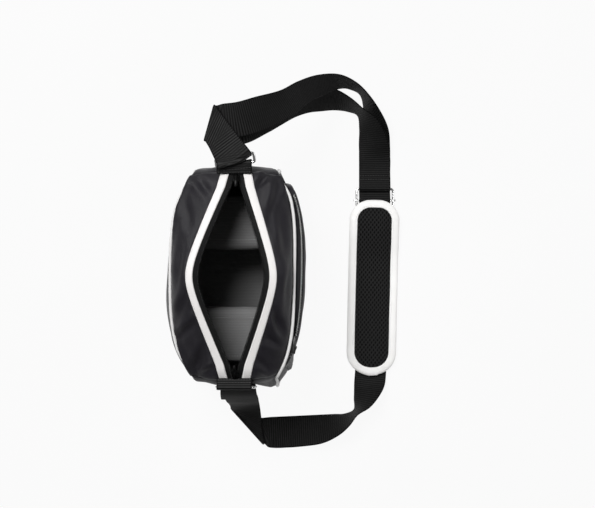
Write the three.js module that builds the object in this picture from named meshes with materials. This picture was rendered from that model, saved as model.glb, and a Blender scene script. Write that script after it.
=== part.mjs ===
// Camera shoulder bag with its zip mouth open and its strap and pad laid beside it.
// Millimetres, +Z up. The bag stands on its base at the origin, its length runs along X and its
// front faces -Y. North is +X and south is -X.
import * as THREE from "three";

// Face panels: a rounded trapezoid in X and Z
const BASE_HALF = 138;
const TOP_HALF = 117;
const SEAM_LOW = 2.5;
const SEAM_HIGH = 166;
const LOW_CORNER = 22;
const HIGH_CORNER = 18;

// Each face: its side, how far it bows past its seam and how much of that leans south, then the
// seam's half width at the ends, low and high, its swell towards the middle, how square that swell
// is, its skew along the bag and how much fuller it is low down near the south end
const FACES = {
  front: { side: -1, bow: 5, lean: 0, low: 45, end: 50.3, swell: 18, power: 4, skew: 0.018, flare: 8 },
  back: { side: 1, bow: 14.2, lean: 0.75, low: 48, end: 50.5, swell: 23.7, power: 3.1, skew: 0, flare: 0 },
};
const LOW_SWELL = 13;
const WALL = 2;
const GAP = 0.4;
const PIPING_RADIUS = 2.3;
const SEAM_CLEAR = PIPING_RADIUS + GAP;

// Base and ends stand this far out from the seams
const BASE_DROP = 2.5;
const TOP_CROWN = 9;

// Zip mouth: half length, then the lips, their drift aside and the trim beside them, where the zip is
// closed and where the mouth is widest
const MOUTH_HALF = 116;
const MOUTH_ROUNDING = 0.18;
const CLOSED_LIP = 16.4;
const OPEN_LIP = 51.5;
const CLOSED_RISE = 9;
const OPEN_RISE = 30;
const NORTH_DRIFT = -2.4;
const SOUTH_DRIFT = -0.5;
const OPEN_DRIFT = 2.6;
const CLOSED_TRIM = 10.2;
const OPEN_TRIM = 8.2;
const TRIM_RISE = 1.5;
const TRIM_THICK = 1.6;
const ZIP_WIDTH = 6.5;
const CLOSED_DROP = 1.8;
const ZIP_DROP = 2.5;
const TAPE_THICK = 1;
const COIL_THICK = 2.4;
const COIL_WIDTH = 2.2;
const SLIDER_LEAN = 18;

// Front pocket
const POCKET_BASE_HALF = 119;
const POCKET_TOP_HALF = 104;
const POCKET_LOW = 14;
const POCKET_HIGH = 156;
const POCKET_DEPTH = 8.3;
const POCKET_END_DEPTH = 2.2;
const POCKET_FULLEST_X = 10;
const POCKET_ZIP_SHARE = 0.86;
const POCKET_WALL = 1.6;
const POCKET_BOW = 1.6;
const POCKET_ZIP_HALF = 93;

// Lining and dividers
const LINING_THICK = 1.2;
const LINING_CLEAR = WALL + PIPING_RADIUS + GAP;
const DIVIDER_THICK = 7;
const DIVIDER_HALF_WIDTH = 48.5;
const DIVIDER_HEIGHT = 104;
const NORTH_DIVIDER_X = 33;
const SOUTH_DIVIDER_X = -42;
const FLAP_LENGTH = 62;
const FLAP_THICK = 5;
const FLAP_DROP = 4;

// Webbing, rings and tabs
const WEB_WIDTH = 40;
const WEB_THICK = 1.5;
const WIRE_RADIUS = 1.6;
const RING_INNER_LENGTH = 46;
const RING_PITCH = 11;
const TAB_WIDTH = 40;
const TAB_ROOT = 10;
const TAB_LEAN = 20;
const NORTH_RING_TURN = 10;
const BAR_X = 126.5;
const BAR_Z = 177.5;
const TURN_RADIUS = WIRE_RADIUS + GAP + WEB_THICK / 2;
const LAYER_STEP = 2.2;

// Buckle and pad on the strap
const STRAP_Y = -171.3;
const BUCKLE_NORTH_X = 109;
const BUCKLE_SOUTH_X = 84;
const BUCKLE_HALF_WIDTH = 23.4;
const BUCKLE_Z = 5.6;
const BUCKLE_WIRE = 1.5;
const SLIDE_BAR_X = 94;
const SLIDE_BAR_Z = 1.9;
const SLIDE_BAR_LENGTH = 54;
const PAD_LENGTH = 225;
const PAD_WIDTH = 64.2;
const PAD_NORTH_CORNER = 27;
const PAD_SOUTH_CORNER = 30;
const PAD_X = -18;
const PAD_Y = -168.6;
const PAD_TURN = -1.3;
const PAD_THICK = 9;
const PAD_LOW = 2.2;
const PAD_LIFT = 5.6;
const BINDING_WIDTH = 10;

const BLACK_CLOTH = { color: 0x17161b, roughness: 0.85 };
const BLACK_WEB = { color: 0x141416, roughness: 0.9 };
const WHITE_TRIM = { color: 0xe6e4dc, roughness: 0.6 };
const GREY_LINING = { color: 0x8b8c8e, roughness: 0.8 };
const ZIP_BLACK = { color: 0x0e0e10, roughness: 0.5 };
const METAL = { color: 0xc9cacc, roughness: 0.25, metalness: 1 };

const { lerp, clamp, smoothstep, degToRad } = THREE.MathUtils;
const bag = new THREE.Group();
bag.name = "camera_bag";

function add(name, geometry, look) {
  const mesh = new THREE.Mesh(geometry, new THREE.MeshStandardMaterial(look));
  mesh.name = name;
  bag.add(mesh);
  return mesh;
}

// Joins closed loops of points into one solid, as a ring or with both ends closed.
// Ends close to their middle, or straight across for a loop that is a thin band.
function loft(loops, { ring = false, band = false } = {}) {
  const count = loops[0].length;
  const points = loops.flat();
  const faces = [];
  const spans = ring ? loops.length : loops.length - 1;
  for (let i = 0; i < spans; i++) {
    const here = i * count;
    const next = ((i + 1) % loops.length) * count;
    for (let j = 0; j < count; j++) {
      const k = (j + 1) % count;
      faces.push([here + j, here + k, next + k], [here + j, next + k, next + j]);
    }
  }
  const closeEnd = (base, flip) => {
    const cap = [];
    if (band) {
      for (let j = 0; j < count / 2 - 1; j++) {
        const across = count - 1 - j;
        cap.push([j, j + 1, across - 1], [j, across - 1, across]);
      }
    } else {
      const middle = new THREE.Vector3();
      for (let j = 0; j < count; j++) {
        middle.addScaledVector(points[base + j], 1 / count);
        cap.push([j, (j + 1) % count, points.length - base]);
      }
      points.push(middle);
    }
    cap.forEach((face) => {
      const placed = face.map((j) => base + j);
      faces.push(flip ? placed.reverse() : placed);
    });
  };
  if (!ring) {
    closeEnd(0, true);
    closeEnd((loops.length - 1) * count, false);
  }
  let volume = 0;
  faces.forEach(([a, b, c]) => {
    volume += points[a].dot(points[b].clone().cross(points[c]));
  });
  const outward = volume < 0 ? faces.map((face) => face.reverse()) : faces;
  const geometry = new THREE.BufferGeometry().setFromPoints(points);
  geometry.setIndex(outward.flat());
  geometry.computeVertexNormals();
  return geometry;
}

// Arcs of a polygon's rounded corners, counter-clockwise
function cornerArcs(corners) {
  return corners.map((corner, i) => {
    const here = new THREE.Vector2(corner.x, corner.z);
    const last = corners.at(i - 1);
    const next = corners[(i + 1) % corners.length];
    const back = new THREE.Vector2(last.x, last.z).sub(here).normalize();
    const ahead = new THREE.Vector2(next.x, next.z).sub(here).normalize();
    const half = Math.acos(back.dot(ahead)) / 2;
    const inward = back.clone().add(ahead).normalize();
    const centre = here.clone().addScaledVector(inward, corner.radius / Math.sin(half));
    const reach = corner.radius / Math.tan(half);
    const from = here.clone().addScaledVector(back, reach).sub(centre).angle();
    const to = here.clone().addScaledVector(ahead, reach).sub(centre).angle();
    return { centre, radius: corner.radius, from, to: to < from ? to + 2 * Math.PI : to };
  });
}

// Points along rounded arcs and the straights between them, each with its outward direction
function stations(arcs, lineStep, arcSteps, closed = false) {
  const path = new THREE.Path();
  arcs.forEach((arc) => path.absarc(arc.centre.x, arc.centre.y, arc.radius, arc.from, arc.to, false));
  if (closed) {
    path.closePath();
  }
  const found = [];
  path.curves.forEach((curve, i) => {
    const steps = curve.isLineCurve ? Math.ceil(curve.getLength() / lineStep) : arcSteps;
    const last = !closed && i === path.curves.length - 1;
    for (let j = 0; j < steps + (last ? 1 : 0); j++) {
      const point = curve.getPoint(j / steps);
      const along = curve.getTangent(j / steps);
      found.push({ x: point.x, z: point.y, nx: along.y, nz: -along.x });
    }
  });
  return found;
}

function trapezoid(baseHalf, topHalf, low, high, lowRadius, highRadius) {
  return cornerArcs([
    { x: -baseHalf, z: low, radius: lowRadius },
    { x: baseHalf, z: low, radius: lowRadius },
    { x: topHalf, z: high, radius: highRadius },
    { x: -topHalf, z: high, radius: highRadius },
  ]);
}

const bodyArcs = trapezoid(BASE_HALF, TOP_HALF, SEAM_LOW, SEAM_HIGH, LOW_CORNER, HIGH_CORNER);
const [lowSouth, lowNorth, highNorth, highSouth] = bodyArcs;

function halfLength(z) {
  return lerp(BASE_HALF, TOP_HALF, (z - SEAM_LOW) / (SEAM_HIGH - SEAM_LOW));
}

// Half length with the rounded corners taken off
function roundedHalfLength(z) {
  const low = lowNorth.centre;
  const high = highNorth.centre;
  if (z < low.y) {
    return low.x + Math.sqrt(Math.max(0, LOW_CORNER ** 2 - (low.y - z) ** 2));
  }
  if (z > high.y) {
    return high.x + Math.sqrt(Math.max(0, HIGH_CORNER ** 2 - (z - high.y) ** 2));
  }
  return halfLength(z);
}

function seamHalfWidth(face, x, z) {
  const up = clamp(z / SEAM_HIGH, 0, 1);
  const swell = lerp(LOW_SWELL, face.swell, up);
  const reach = Math.min(1, Math.abs(x) / halfLength(z));
  const south = x < 0 ? reach : 0;
  const flare = face.flare * smoothstep(south, 0.6, 0.92);
  const low = 1 - smoothstep(z, 70, 130);
  return lerp(face.low, face.end, up) + face.skew * x + swell * (1 - reach ** face.power) + flare * low;
}

// Distance of a face panel from the middle plane
function faceOut(face, x, z) {
  const reach = clamp(x / halfLength(z), -1, 1);
  const along = (1 - reach ** 2) * (1 - face.lean * reach);
  const middle = (SEAM_LOW + SEAM_HIGH) / 2;
  const up = 1 - Math.min(1, Math.abs(z - middle) / (SEAM_HIGH - middle)) ** 2;
  return seamHalfWidth(face, x, z) + face.bow * along * up;
}

// Rings of a panel from its edge to near its middle, as points in X and Z
function panelRings(edge, middleZ) {
  return [1, 0.82, 0.58, 0.3].map((share) =>
    edge.map(({ x, z }) => ({ x: x * share, z: lerp(middleZ, z, share) })));
}

function bowedPanel(edge, middleZ, outAt, thick, side) {
  const rings = panelRings(edge, middleZ);
  const outer = rings.map((loop) => loop.map(({ x, z }) => new THREE.Vector3(x, side * outAt(x, z), z)));
  const inner = rings.map((loop) =>
    loop.map(({ x, z }) => new THREE.Vector3(x, side * (outAt(x, z) - thick), z)));
  return loft([...outer.reverse(), ...inner]);
}

// Base and ends in one strip, flat under the base and rounder towards the top
function addGusset() {
  const middle = (arc) => (arc.from + arc.to) / 2;
  const spare = GAP / 2 / HIGH_CORNER;
  const strip = stations(
    [
      { ...highSouth, from: middle(highSouth) + spare },
      lowSouth,
      lowNorth,
      { ...highNorth, to: middle(highNorth) - spare },
    ], 30, 4);
  const shares = [-1, -0.88, -0.6, 0, 0.6, 0.88, 1];
  const loops = strip.map(({ x, z, nx, nz }) => {
    const upper = smoothstep(z, 90, SEAM_HIGH - 6);
    const crown = lerp(BASE_DROP, TOP_CROWN, upper);
    const front = SEAM_CLEAR - seamHalfWidth(FACES.front, x, z);
    const back = seamHalfWidth(FACES.back, x, z) - SEAM_CLEAR;
    const at = (share, depth) => {
      const flat = 1 - smoothstep(Math.abs(share), 0.85, 1);
      const round = 1 - share ** 2;
      const out = crown * lerp(flat, round, upper) - depth;
      return new THREE.Vector3(x + nx * out, lerp(front, back, (share + 1) / 2), z + nz * out);
    };
    return [...shares.map((s) => at(s, 0)), ...shares.map((s) => at(s, WALL)).reverse()];
  });
  add("base_gusset", loft(loops, { band: true }), BLACK_CLOTH);
}

function addFaces() {
  const around = stations(bodyArcs, 28, 4, true);
  const middleZ = (SEAM_LOW + SEAM_HIGH) / 2;
  Object.entries(FACES).forEach(([name, face]) => {
    const edge = around.map(({ x, z, nx, nz }) => ({ x: x - nx * SEAM_CLEAR, z: z - nz * SEAM_CLEAR }));
    const outAt = (x, z) => faceOut(face, x, z);
    add(`${name}_panel`, bowedPanel(edge, middleZ, outAt, WALL, face.side), BLACK_CLOTH);

    const piping = around.map(({ x, z, nx, nz }) => {
      const y = seamHalfWidth(face, x, z);
      return Array.from({ length: 6 }, (_, j) => {
        const turn = (j / 6) * 2 * Math.PI;
        const out = PIPING_RADIUS * Math.cos(turn);
        const aside = PIPING_RADIUS * Math.sin(turn);
        return new THREE.Vector3(x + nx * out, face.side * (y + aside), z + nz * out);
      });
    });
    add(`${name}_piping`, loft(piping, { ring: true }), WHITE_TRIM);
  });
}

// 0 where the zip is closed, 1 where the mouth is widest
function mouthShare(x) {
  const reach = Math.min(1, Math.abs(x) / MOUTH_HALF);
  const end = Math.hypot(1, MOUTH_ROUNDING);
  return (end - Math.hypot(reach, MOUTH_ROUNDING)) / (end - MOUTH_ROUNDING);
}

// Middle of the mouth, off the bag's middle plane
function mouthDrift(x) {
  const closed = lerp(SOUTH_DRIFT, NORTH_DRIFT, clamp(0.5 + x / MOUTH_HALF / 2, 0, 1));
  return lerp(closed, OPEN_DRIFT, mouthShare(x));
}

// Cross-section of one half of the top as points of width and height above the seam
function topSection(face, x, z) {
  const open = mouthShare(x);
  const seam = new THREE.Vector2(seamHalfWidth(face, x, z) - SEAM_CLEAR, 0);
  const lipWidth = lerp(CLOSED_LIP, OPEN_LIP, open) + face.side * mouthDrift(x);
  const lip = new THREE.Vector2(lipWidth, lerp(CLOSED_RISE, OPEN_RISE, open));
  const climb = new THREE.Vector2(lerp(-9, 2, open), lerp(6, 17, open)).add(seam);
  const roll = new THREE.Vector2(lerp(11, 8, open), -0.3).add(lip);
  const panel = new THREE.CubicBezierCurve(seam, climb, roll, lip).getPoints(6);
  const trimStart = lip.clone().add(new THREE.Vector2(-GAP, 0.2));
  const trimEnd = trimStart.clone().add(new THREE.Vector2(-lerp(CLOSED_TRIM, OPEN_TRIM, open), TRIM_RISE));
  const zipStart = trimEnd.clone().add(new THREE.Vector2(-GAP, -lerp(CLOSED_DROP, 0.3, open)));
  const zipEnd = zipStart.clone().add(new THREE.Vector2(-ZIP_WIDTH, -ZIP_DROP * open));
  return { panel, trimStart, trimEnd, zipStart, zipEnd };
}

// A strip's section as a closed loop, its lower side moved in by the thickness
function thickened(upper, thickAt) {
  const lower = upper.map((point, i) => {
    const before = upper[Math.max(0, i - 1)];
    const after = upper[Math.min(upper.length - 1, i + 1)];
    const along = after.clone().sub(before).normalize();
    return point.clone().add(new THREE.Vector2(-along.y, along.x).multiplyScalar(thickAt(i)));
  });
  return [...upper, ...lower.reverse()];
}

function zipSideSection(start, end) {
  const along = end.clone().sub(start).normalize();
  const up = new THREE.Vector2(along.y, -along.x);
  const step = start.distanceTo(end) - COIL_WIDTH;
  const at = (reach, rise) => start.clone().addScaledVector(along, reach).addScaledVector(up, rise);
  const tape = TAPE_THICK / 2;
  const coil = COIL_THICK / 2;
  const full = step + COIL_WIDTH;
  const upper = [at(0, tape), at(step, tape), at(step + 0.01, coil), at(full, coil)];
  const lower = [at(0, -tape), at(step, -tape), at(step + 0.01, -coil), at(full, -coil)];
  return [...upper, ...lower.reverse()];
}

function addTop() {
  const middle = (arc) => (arc.from + arc.to) / 2;
  const spare = GAP / 2 / HIGH_CORNER;
  const run = stations(
    [
      { ...highNorth, from: middle(highNorth) + spare },
      { ...highSouth, to: middle(highSouth) - spare },
    ], 13, 2);
  Object.entries(FACES).forEach(([name, face]) => {
    const place = ({ x, z, nx, nz }, loop) =>
      loop.map((p) => new THREE.Vector3(x + nx * p.y, face.side * p.x, z + nz * p.y));
    const panel = run.map((at) => place(at, thickened(topSection(face, at.x, at.z).panel, () => WALL)));
    add(`top_panel_${name}`, loft(panel, { band: true }), BLACK_CLOTH);

    const trim = run.map((at) => {
      const { trimStart, trimEnd } = topSection(face, at.x, at.z);
      const crest = trimStart.clone().lerp(trimEnd, 0.5).add(new THREE.Vector2(0, 0.4));
      return place(at, thickened([trimStart, crest, trimEnd], () => TRIM_THICK));
    });
    add(`zip_trim_${name}`, loft(trim, { band: true }), WHITE_TRIM);

    const zip = run.map((at) => {
      const { zipStart, zipEnd } = topSection(face, at.x, at.z);
      return place(at, zipSideSection(zipStart, zipEnd));
    });
    add(`zip_side_${name}`, loft(zip, { band: true }), ZIP_BLACK);
  });
}

// Slider seen from above: a wide nose towards the open mouth and a narrow tail
function addZipSliders() {
  const shape = new THREE.Shape();
  shape.moveTo(-5, -2.6);
  shape.lineTo(3, -4.2);
  shape.lineTo(5, -2.5);
  shape.lineTo(5, 2.5);
  shape.lineTo(3, 4.2);
  shape.lineTo(-5, 2.6);
  const solid = { depth: 2.4, bevelEnabled: true, bevelSize: 0.5, bevelThickness: 0.5, bevelSegments: 1 };
  const reach = HIGH_CORNER + CLOSED_RISE + TRIM_RISE + COIL_THICK + 0.9;
  const lean = degToRad(SLIDER_LEAN);
  [["north", 1], ["south", -1]].forEach(([name, side]) => {
    const seat = new THREE.Group();
    const x = side * (highNorth.centre.x + reach * Math.sin(lean));
    seat.position.set(x, mouthDrift(x), highNorth.centre.y + reach * Math.cos(lean));
    seat.rotation.y = side * lean;
    const slider = add(`zip_slider_${name}`, new THREE.ExtrudeGeometry(shape, solid), METAL);
    slider.rotation.z = side > 0 ? Math.PI : 0;
    seat.add(slider);
    bag.add(seat);
  });
}

function addPocket() {
  const arcs = trapezoid(POCKET_BASE_HALF, POCKET_TOP_HALF, POCKET_LOW, POCKET_HIGH, 20, 16);
  const around = stations(arcs, 26, 4, true);
  const back = (x, z) => faceOut(FACES.front, x, z) + 2 * GAP;
  const deep = (x) => {
    const reach = Math.abs(x - POCKET_FULLEST_X) / (POCKET_BASE_HALF - POCKET_FULLEST_X);
    return lerp(POCKET_DEPTH, POCKET_END_DEPTH, Math.min(1, reach) ** 2);
  };
  const gusset = around.map(({ x, z, nx, nz }) => {
    const at = (inset, out) => new THREE.Vector3(x - nx * inset, -back(x, z) - out, z - nz * inset);
    return [at(0, 0), at(0, deep(x)), at(POCKET_WALL, deep(x)), at(POCKET_WALL, 0)];
  });
  add("pocket_gusset", loft(gusset, { ring: true }), BLACK_CLOTH);

  const middleZ = (POCKET_LOW + POCKET_HIGH) / 2;
  const half = (POCKET_HIGH - POCKET_LOW) / 2;
  const outAt = (x, z) => {
    const up = 1 - Math.min(1, Math.abs(z - middleZ) / half) ** 2;
    const along = 1 - Math.min(1, Math.abs(x) / POCKET_BASE_HALF) ** 2;
    return back(x, z) + deep(x) + GAP + POCKET_WALL + POCKET_BOW * up * along;
  };
  add("pocket_panel", bowedPanel(around, middleZ, outAt, POCKET_WALL, -1), BLACK_CLOTH);

  const top = around.filter(({ x, nz }) => nz > 0.9 && Math.abs(x) < POCKET_ZIP_HALF);
  const zipY = (x, z) => -back(x, z) - deep(x) * POCKET_ZIP_SHARE;
  const zip = top.map(({ x, z }) => {
    const y = zipY(x, z);
    const low = z + 0.3;
    const at = (aside, rise) => new THREE.Vector3(x, y + aside, low + rise);
    return [at(-2.4, 0), at(-1.6, 1.4), at(1.6, 1.4), at(2.4, 0)];
  });
  add("pocket_zip", loft(zip), METAL);

  const puller = new THREE.Shape();
  puller.absarc(0, 0, 3.2, Math.PI / 2, Math.PI * 1.5, false);
  puller.lineTo(13, -2);
  puller.absarc(13, 0, 2, -Math.PI / 2, Math.PI / 2, false);
  const solid = { depth: 2, bevelEnabled: false, curveSegments: 6 };
  const slider = add("pocket_slider", new THREE.ExtrudeGeometry(puller, solid), METAL);
  const last = top.at(-1);
  const rise = zipY(last.x + 16, last.z) - zipY(last.x, last.z);
  slider.position.set(last.x + 4, zipY(last.x + 4, last.z), last.z + 2.1);
  slider.rotation.z = Math.atan(rise / 16);
}

// Cup of cloth inside the shell, open at the top
function addLining() {
  const levels = [5.2, 9, 18, 40, 75, 110, 140, 156];
  const loopAt = (z, clear) => {
    const end = roundedHalfLength(z - 2) - clear;
    const spread = [-1, -0.86, -0.6, -0.3, 0, 0.3, 0.6, 0.86, 1];
    const inset = (face, x) => new THREE.Vector3(x, face.side * (faceOut(face, x, z) - clear), z);
    const front = spread.map((s) => inset(FACES.front, s * end));
    const rear = spread.map((s) => inset(FACES.back, -s * end));
    return [...front, ...rear];
  };
  const outer = levels.map((z) => loopAt(z, LINING_CLEAR));
  const inner = levels.map((z) => loopAt(z, LINING_CLEAR + LINING_THICK));
  inner[0].forEach((p) => p.setZ(levels[0] + LINING_THICK));
  add("lining", loft([...outer, ...inner.reverse()]), GREY_LINING);
}

// Padded wall with a flap that folds over the compartment beside it
function addDividers() {
  const floor = 5 + LINING_THICK + GAP;
  const round = 6;
  const shape = new THREE.Shape();
  shape.moveTo(0, floor);
  shape.lineTo(DIVIDER_THICK, floor);
  shape.lineTo(DIVIDER_THICK, DIVIDER_HEIGHT - FLAP_THICK);
  const hem = FLAP_THICK / 2;
  shape.lineTo(FLAP_LENGTH, DIVIDER_HEIGHT - FLAP_DROP - FLAP_THICK);
  shape.absarc(FLAP_LENGTH, DIVIDER_HEIGHT - FLAP_DROP - hem, hem, -Math.PI / 2, Math.PI / 2, false);
  shape.absarc(round, DIVIDER_HEIGHT - round, round, Math.PI / 2, Math.PI, false);
  shape.lineTo(0, floor);
  const solid = { depth: 2 * DIVIDER_HALF_WIDTH, bevelEnabled: false, curveSegments: 4 };
  [["north", NORTH_DIVIDER_X, 1], ["south", SOUTH_DIVIDER_X, -1]].forEach(([name, x, way]) => {
    const divider = add(`divider_${name}`, new THREE.ExtrudeGeometry(shape, solid), GREY_LINING);
    divider.rotation.set(Math.PI / 2, way > 0 ? 0 : Math.PI, 0);
    divider.position.set(x, way * DIVIDER_HALF_WIDTH, 0);
  });
}

// Closed wire round a rectangle with rounded corners, lying in X and Y about its first long bar
function wireRing(length, pitch, radius, corner) {
  const half = length / 2;
  const outline = cornerArcs([
    { x: 0, z: -half, radius: corner },
    { x: pitch, z: -half, radius: corner },
    { x: pitch, z: half, radius: corner },
    { x: 0, z: half, radius: corner },
  ]);
  const loops = stations(outline, 60, 4, true).map(({ x, z, nx, nz }) =>
    Array.from({ length: 8 }, (_, j) => {
      const turn = (j / 8) * 2 * Math.PI;
      const out = radius * Math.cos(turn);
      return new THREE.Vector3(x + nx * out, z + nz * out, radius * Math.sin(turn));
    }));
  return loft(loops, { ring: true });
}

// Rings: how far each is tilted up, turned aside with the strap's pull and moved along its bar
const RING_ENDS = [
  { name: "north", side: 1, tilt: 25, turned: NORTH_RING_TURN, aside: -2 },
  { name: "south", side: -1, tilt: -86, turned: 0, aside: 2 },
];

// Webbing folded round the ring's inner bar, its root against the seam at the end of the top
function addTabsAndRings() {
  const turn = WIRE_RADIUS + GAP;
  const root = -TAB_ROOT;
  const shape = new THREE.Shape();
  shape.moveTo(root, 0.2);
  shape.lineTo(0, turn);
  shape.absarc(0, 0, turn, Math.PI / 2, -Math.PI / 2, true);
  shape.lineTo(root, -0.2);
  shape.lineTo(root, -0.2 - WEB_THICK);
  shape.absarc(0, 0, turn + WEB_THICK, -Math.PI / 2, Math.PI / 2, false);
  shape.lineTo(root, 0.2 + WEB_THICK);
  const solid = { depth: TAB_WIDTH, bevelEnabled: false, curveSegments: 8 };
  const ringSolid = wireRing(RING_INNER_LENGTH + 2 * WIRE_RADIUS, RING_PITCH, WIRE_RADIUS, 2.4);
  RING_ENDS.forEach(({ name, side, tilt, turned, aside }) => {
    const tabSolid = new THREE.ExtrudeGeometry(shape, solid);
    const corners = tabSolid.getAttribute("position");
    const slant = Math.tan(degToRad(turned));
    for (let i = 0; i < corners.count; i++) {
      const x = corners.getX(i);
      const pulled = smoothstep(x, root, -WIRE_RADIUS - GAP);
      corners.setX(i, x + pulled * slant * (corners.getZ(i) - TAB_WIDTH / 2));
    }
    const tab = add(`tab_${name}`, tabSolid, BLACK_WEB);
    tab.rotation.set(Math.PI / 2, 0, 0);
    tab.position.y = TAB_WIDTH / 2;
    const ring = add(`ring_${name}`, ringSolid.clone(), METAL);
    ring.rotation.set(0, degToRad(TAB_LEAN - tilt), degToRad(turned), "ZYX");
    ring.position.y = aside;
    const lean = new THREE.Group();
    lean.rotation.y = -degToRad(TAB_LEAN);
    lean.add(tab, ring);
    const end = new THREE.Group();
    end.position.set(side * BAR_X, 0, BAR_Z);
    end.rotation.z = side > 0 ? 0 : Math.PI;
    end.add(lean);
    bag.add(end);
  });
}

// One row of webbing: its middle, the direction and tilt of its width, and the width there
function row(x, y, z, azimuth, tilt = 0, span = WEB_WIDTH) {
  const aside = degToRad(azimuth);
  const rise = degToRad(tilt);
  const level = Math.cos(rise);
  const half = new THREE.Vector3(level * Math.cos(aside), level * Math.sin(aside), Math.sin(rise));
  half.multiplyScalar(span / 2);
  const middle = new THREE.Vector3(x, y, z);
  return { left: middle.clone().add(half), right: middle.clone().sub(half) };
}

// A row on a turn round a level axis, at one angle
function turnRow({ x, y, z, azimuth, tilt = 0, span = WEB_WIDTH }, radius, degrees) {
  const ahead = degToRad(azimuth - 90);
  const angle = degToRad(degrees);
  const out = radius * Math.cos(angle);
  return row(x + out * Math.cos(ahead), y + out * Math.sin(ahead), z + radius * Math.sin(angle),
    azimuth, tilt, span);
}

function turnRows(bar, radius, from, to) {
  const steps = Math.max(3, Math.ceil(Math.abs(to - from) / 45));
  return Array.from({ length: steps + 1 }, (_, i) => turnRow(bar, radius, lerp(from, to, i / steps)));
}

// A row on the straight between two rows, moved down
function between(first, last, share, drop = 0) {
  const edge = (side) => first[side].clone().lerp(last[side], share).setZ(
    lerp(first[side].z, last[side].z, share) - drop);
  return { left: edge("left"), right: edge("right") };
}

// Ribbon through its rows, with a rectangle for its section
function ribbon(rows, step) {
  const curve = (edge) => new THREE.CatmullRomCurve3(rows.map((r) => r[edge]), false, "centripetal");
  const leftCurve = curve("left");
  const rightCurve = curve("right");
  const middle = (r) => r.left.clone().add(r.right).multiplyScalar(0.5);
  const samples = [];
  for (let i = 0; i < rows.length - 1; i++) {
    const count = Math.max(1, Math.round(middle(rows[i]).distanceTo(middle(rows[i + 1])) / step));
    for (let j = 0; j < count; j++) {
      samples.push((i + j / count) / (rows.length - 1));
    }
  }
  samples.push(1);
  const pairs = samples.map((t) => ({ left: leftCurve.getPoint(t), right: rightCurve.getPoint(t) }));
  const loops = pairs.map((pair, i) => {
    const before = pairs[Math.max(0, i - 1)];
    const after = pairs[Math.min(pairs.length - 1, i + 1)];
    const across = pair.left.clone().sub(pair.right);
    const lift = (edge) => {
      const along = after[edge].clone().sub(before[edge]);
      return along.cross(across).normalize().multiplyScalar(WEB_THICK / 2);
    };
    const left = lift("left");
    const right = lift("right");
    return [
      pair.left.clone().add(left), pair.right.clone().add(right),
      pair.right.clone().sub(right), pair.left.clone().sub(left),
    ];
  });
  return loft(loops, { band: true });
}

// Level bars and folds that the webbing turns round
const SOUTH_BAR = { x: -BAR_X - 0.6, y: -4, z: BAR_Z - RING_PITCH, azimuth: 90 };
const NORTH_BAR = { x: BAR_X + 9.8, y: -0.1, z: BAR_Z + 4.6, azimuth: 99.4, tilt: -3.4 };
const SEWN_BAR = { x: BUCKLE_NORTH_X, y: STRAP_Y, z: BUCKLE_Z, azimuth: 90 };
const NORTH_FOLD = { x: 174, y: 24, z: 186, azimuth: 164.5, span: 42.2 };
const SOUTH_FOLD = { x: -196.5, y: -9.5, z: 3.5, azimuth: 42, span: 66 };

// Turn round the north ring, slack at its left edge; columns: angle, slack
const RING_TURN = [
  [260, 0],
  [215, 0],
  [175, 3.4],
  [140, 5],
  [90, 1],
];

// Columns: x, y, z, azimuth, tilt, span
const SOUTH_TAIL = [
  [-145.9, -2, 131, 90],
  [-138.2, -2.6, 152, 90],
  [-132.2, -3.2, 161.2, 90],
];
const SOUTH_DROP = [
  [-135.6, -4.5, 152, 90],
  [-143.4, -5.5, 131, 90],
  [-153, -6.5, 98, 90],
  [-160, -7, 62, 90],
  [-167, -7, 32, 89],
  [-175.5, -7.2, 12.5, 80, 0, 42],
  [-186, -8, 6.4, 60, 0, 50],
];
const SOUTH_FLOOR = [
  [-204.9, -40.4, 1.4, 3, -1],
  [-203.8, -58.5, 4.2, 3, -9],
  [-202.3, -75.2, 7.3, 5, -18],
  [-198.9, -101, 11.7, 10, -32],
  [-192, -122.3, 17.6, 17, -56],
  [-185.5, -135.2, 20.3, 30, -74],
  [-176.5, -145.8, 21, 50, -85],
  [-165, -153.7, 18.6, 68, -61],
  [-153.5, -159.7, 14.2, 78, -41],
  [-141.4, -164.2, 7, 84, -16],
  [-130, -165.8, 3, 87, -5],
  [-117, -166.5, 1.1, 88.7],
  [-98, -166.9, 1, 88.7],
  [-18, -168.6, 1, 88.7],
  [50, -170.1, 1, 88.7],
  [74, -170.7, 1.1, 89],
];
const BUCKLE_PASS = [
  [BUCKLE_SOUTH_X, STRAP_Y + 0.4, 1.9, 90],
  [SLIDE_BAR_X, STRAP_Y, 4.7, 90],
  [BUCKLE_NORTH_X - 3, STRAP_Y, 1.5, 90],
  [118, STRAP_Y, 0.9, 90],
];
const NORTH_OUTER = [
  [140, STRAP_Y, 0.9, 90],
  [160, -171.3, 2.2, 91, -3],
  [183.8, -170, 11.2, 96, -30],
  [208.5, -164.6, 19.4, 110, -66],
  [229.5, -155, 21.4, 135, -84],
  [237, -138.5, 46, 167, -80],
  [236, -120.5, 76, 190, -70],
  [228.5, -99.2, 98, 204, -58],
  [216.7, -78.5, 122, 212, -52],
  [201.4, -59.7, 144, 212, -42],
  [187, -31.3, 166, 201, -18],
  [180.6, -6.7, 179, 192, -4],
  [176.4, 16.7, 183.2, 172, 0, 41],
];
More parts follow.
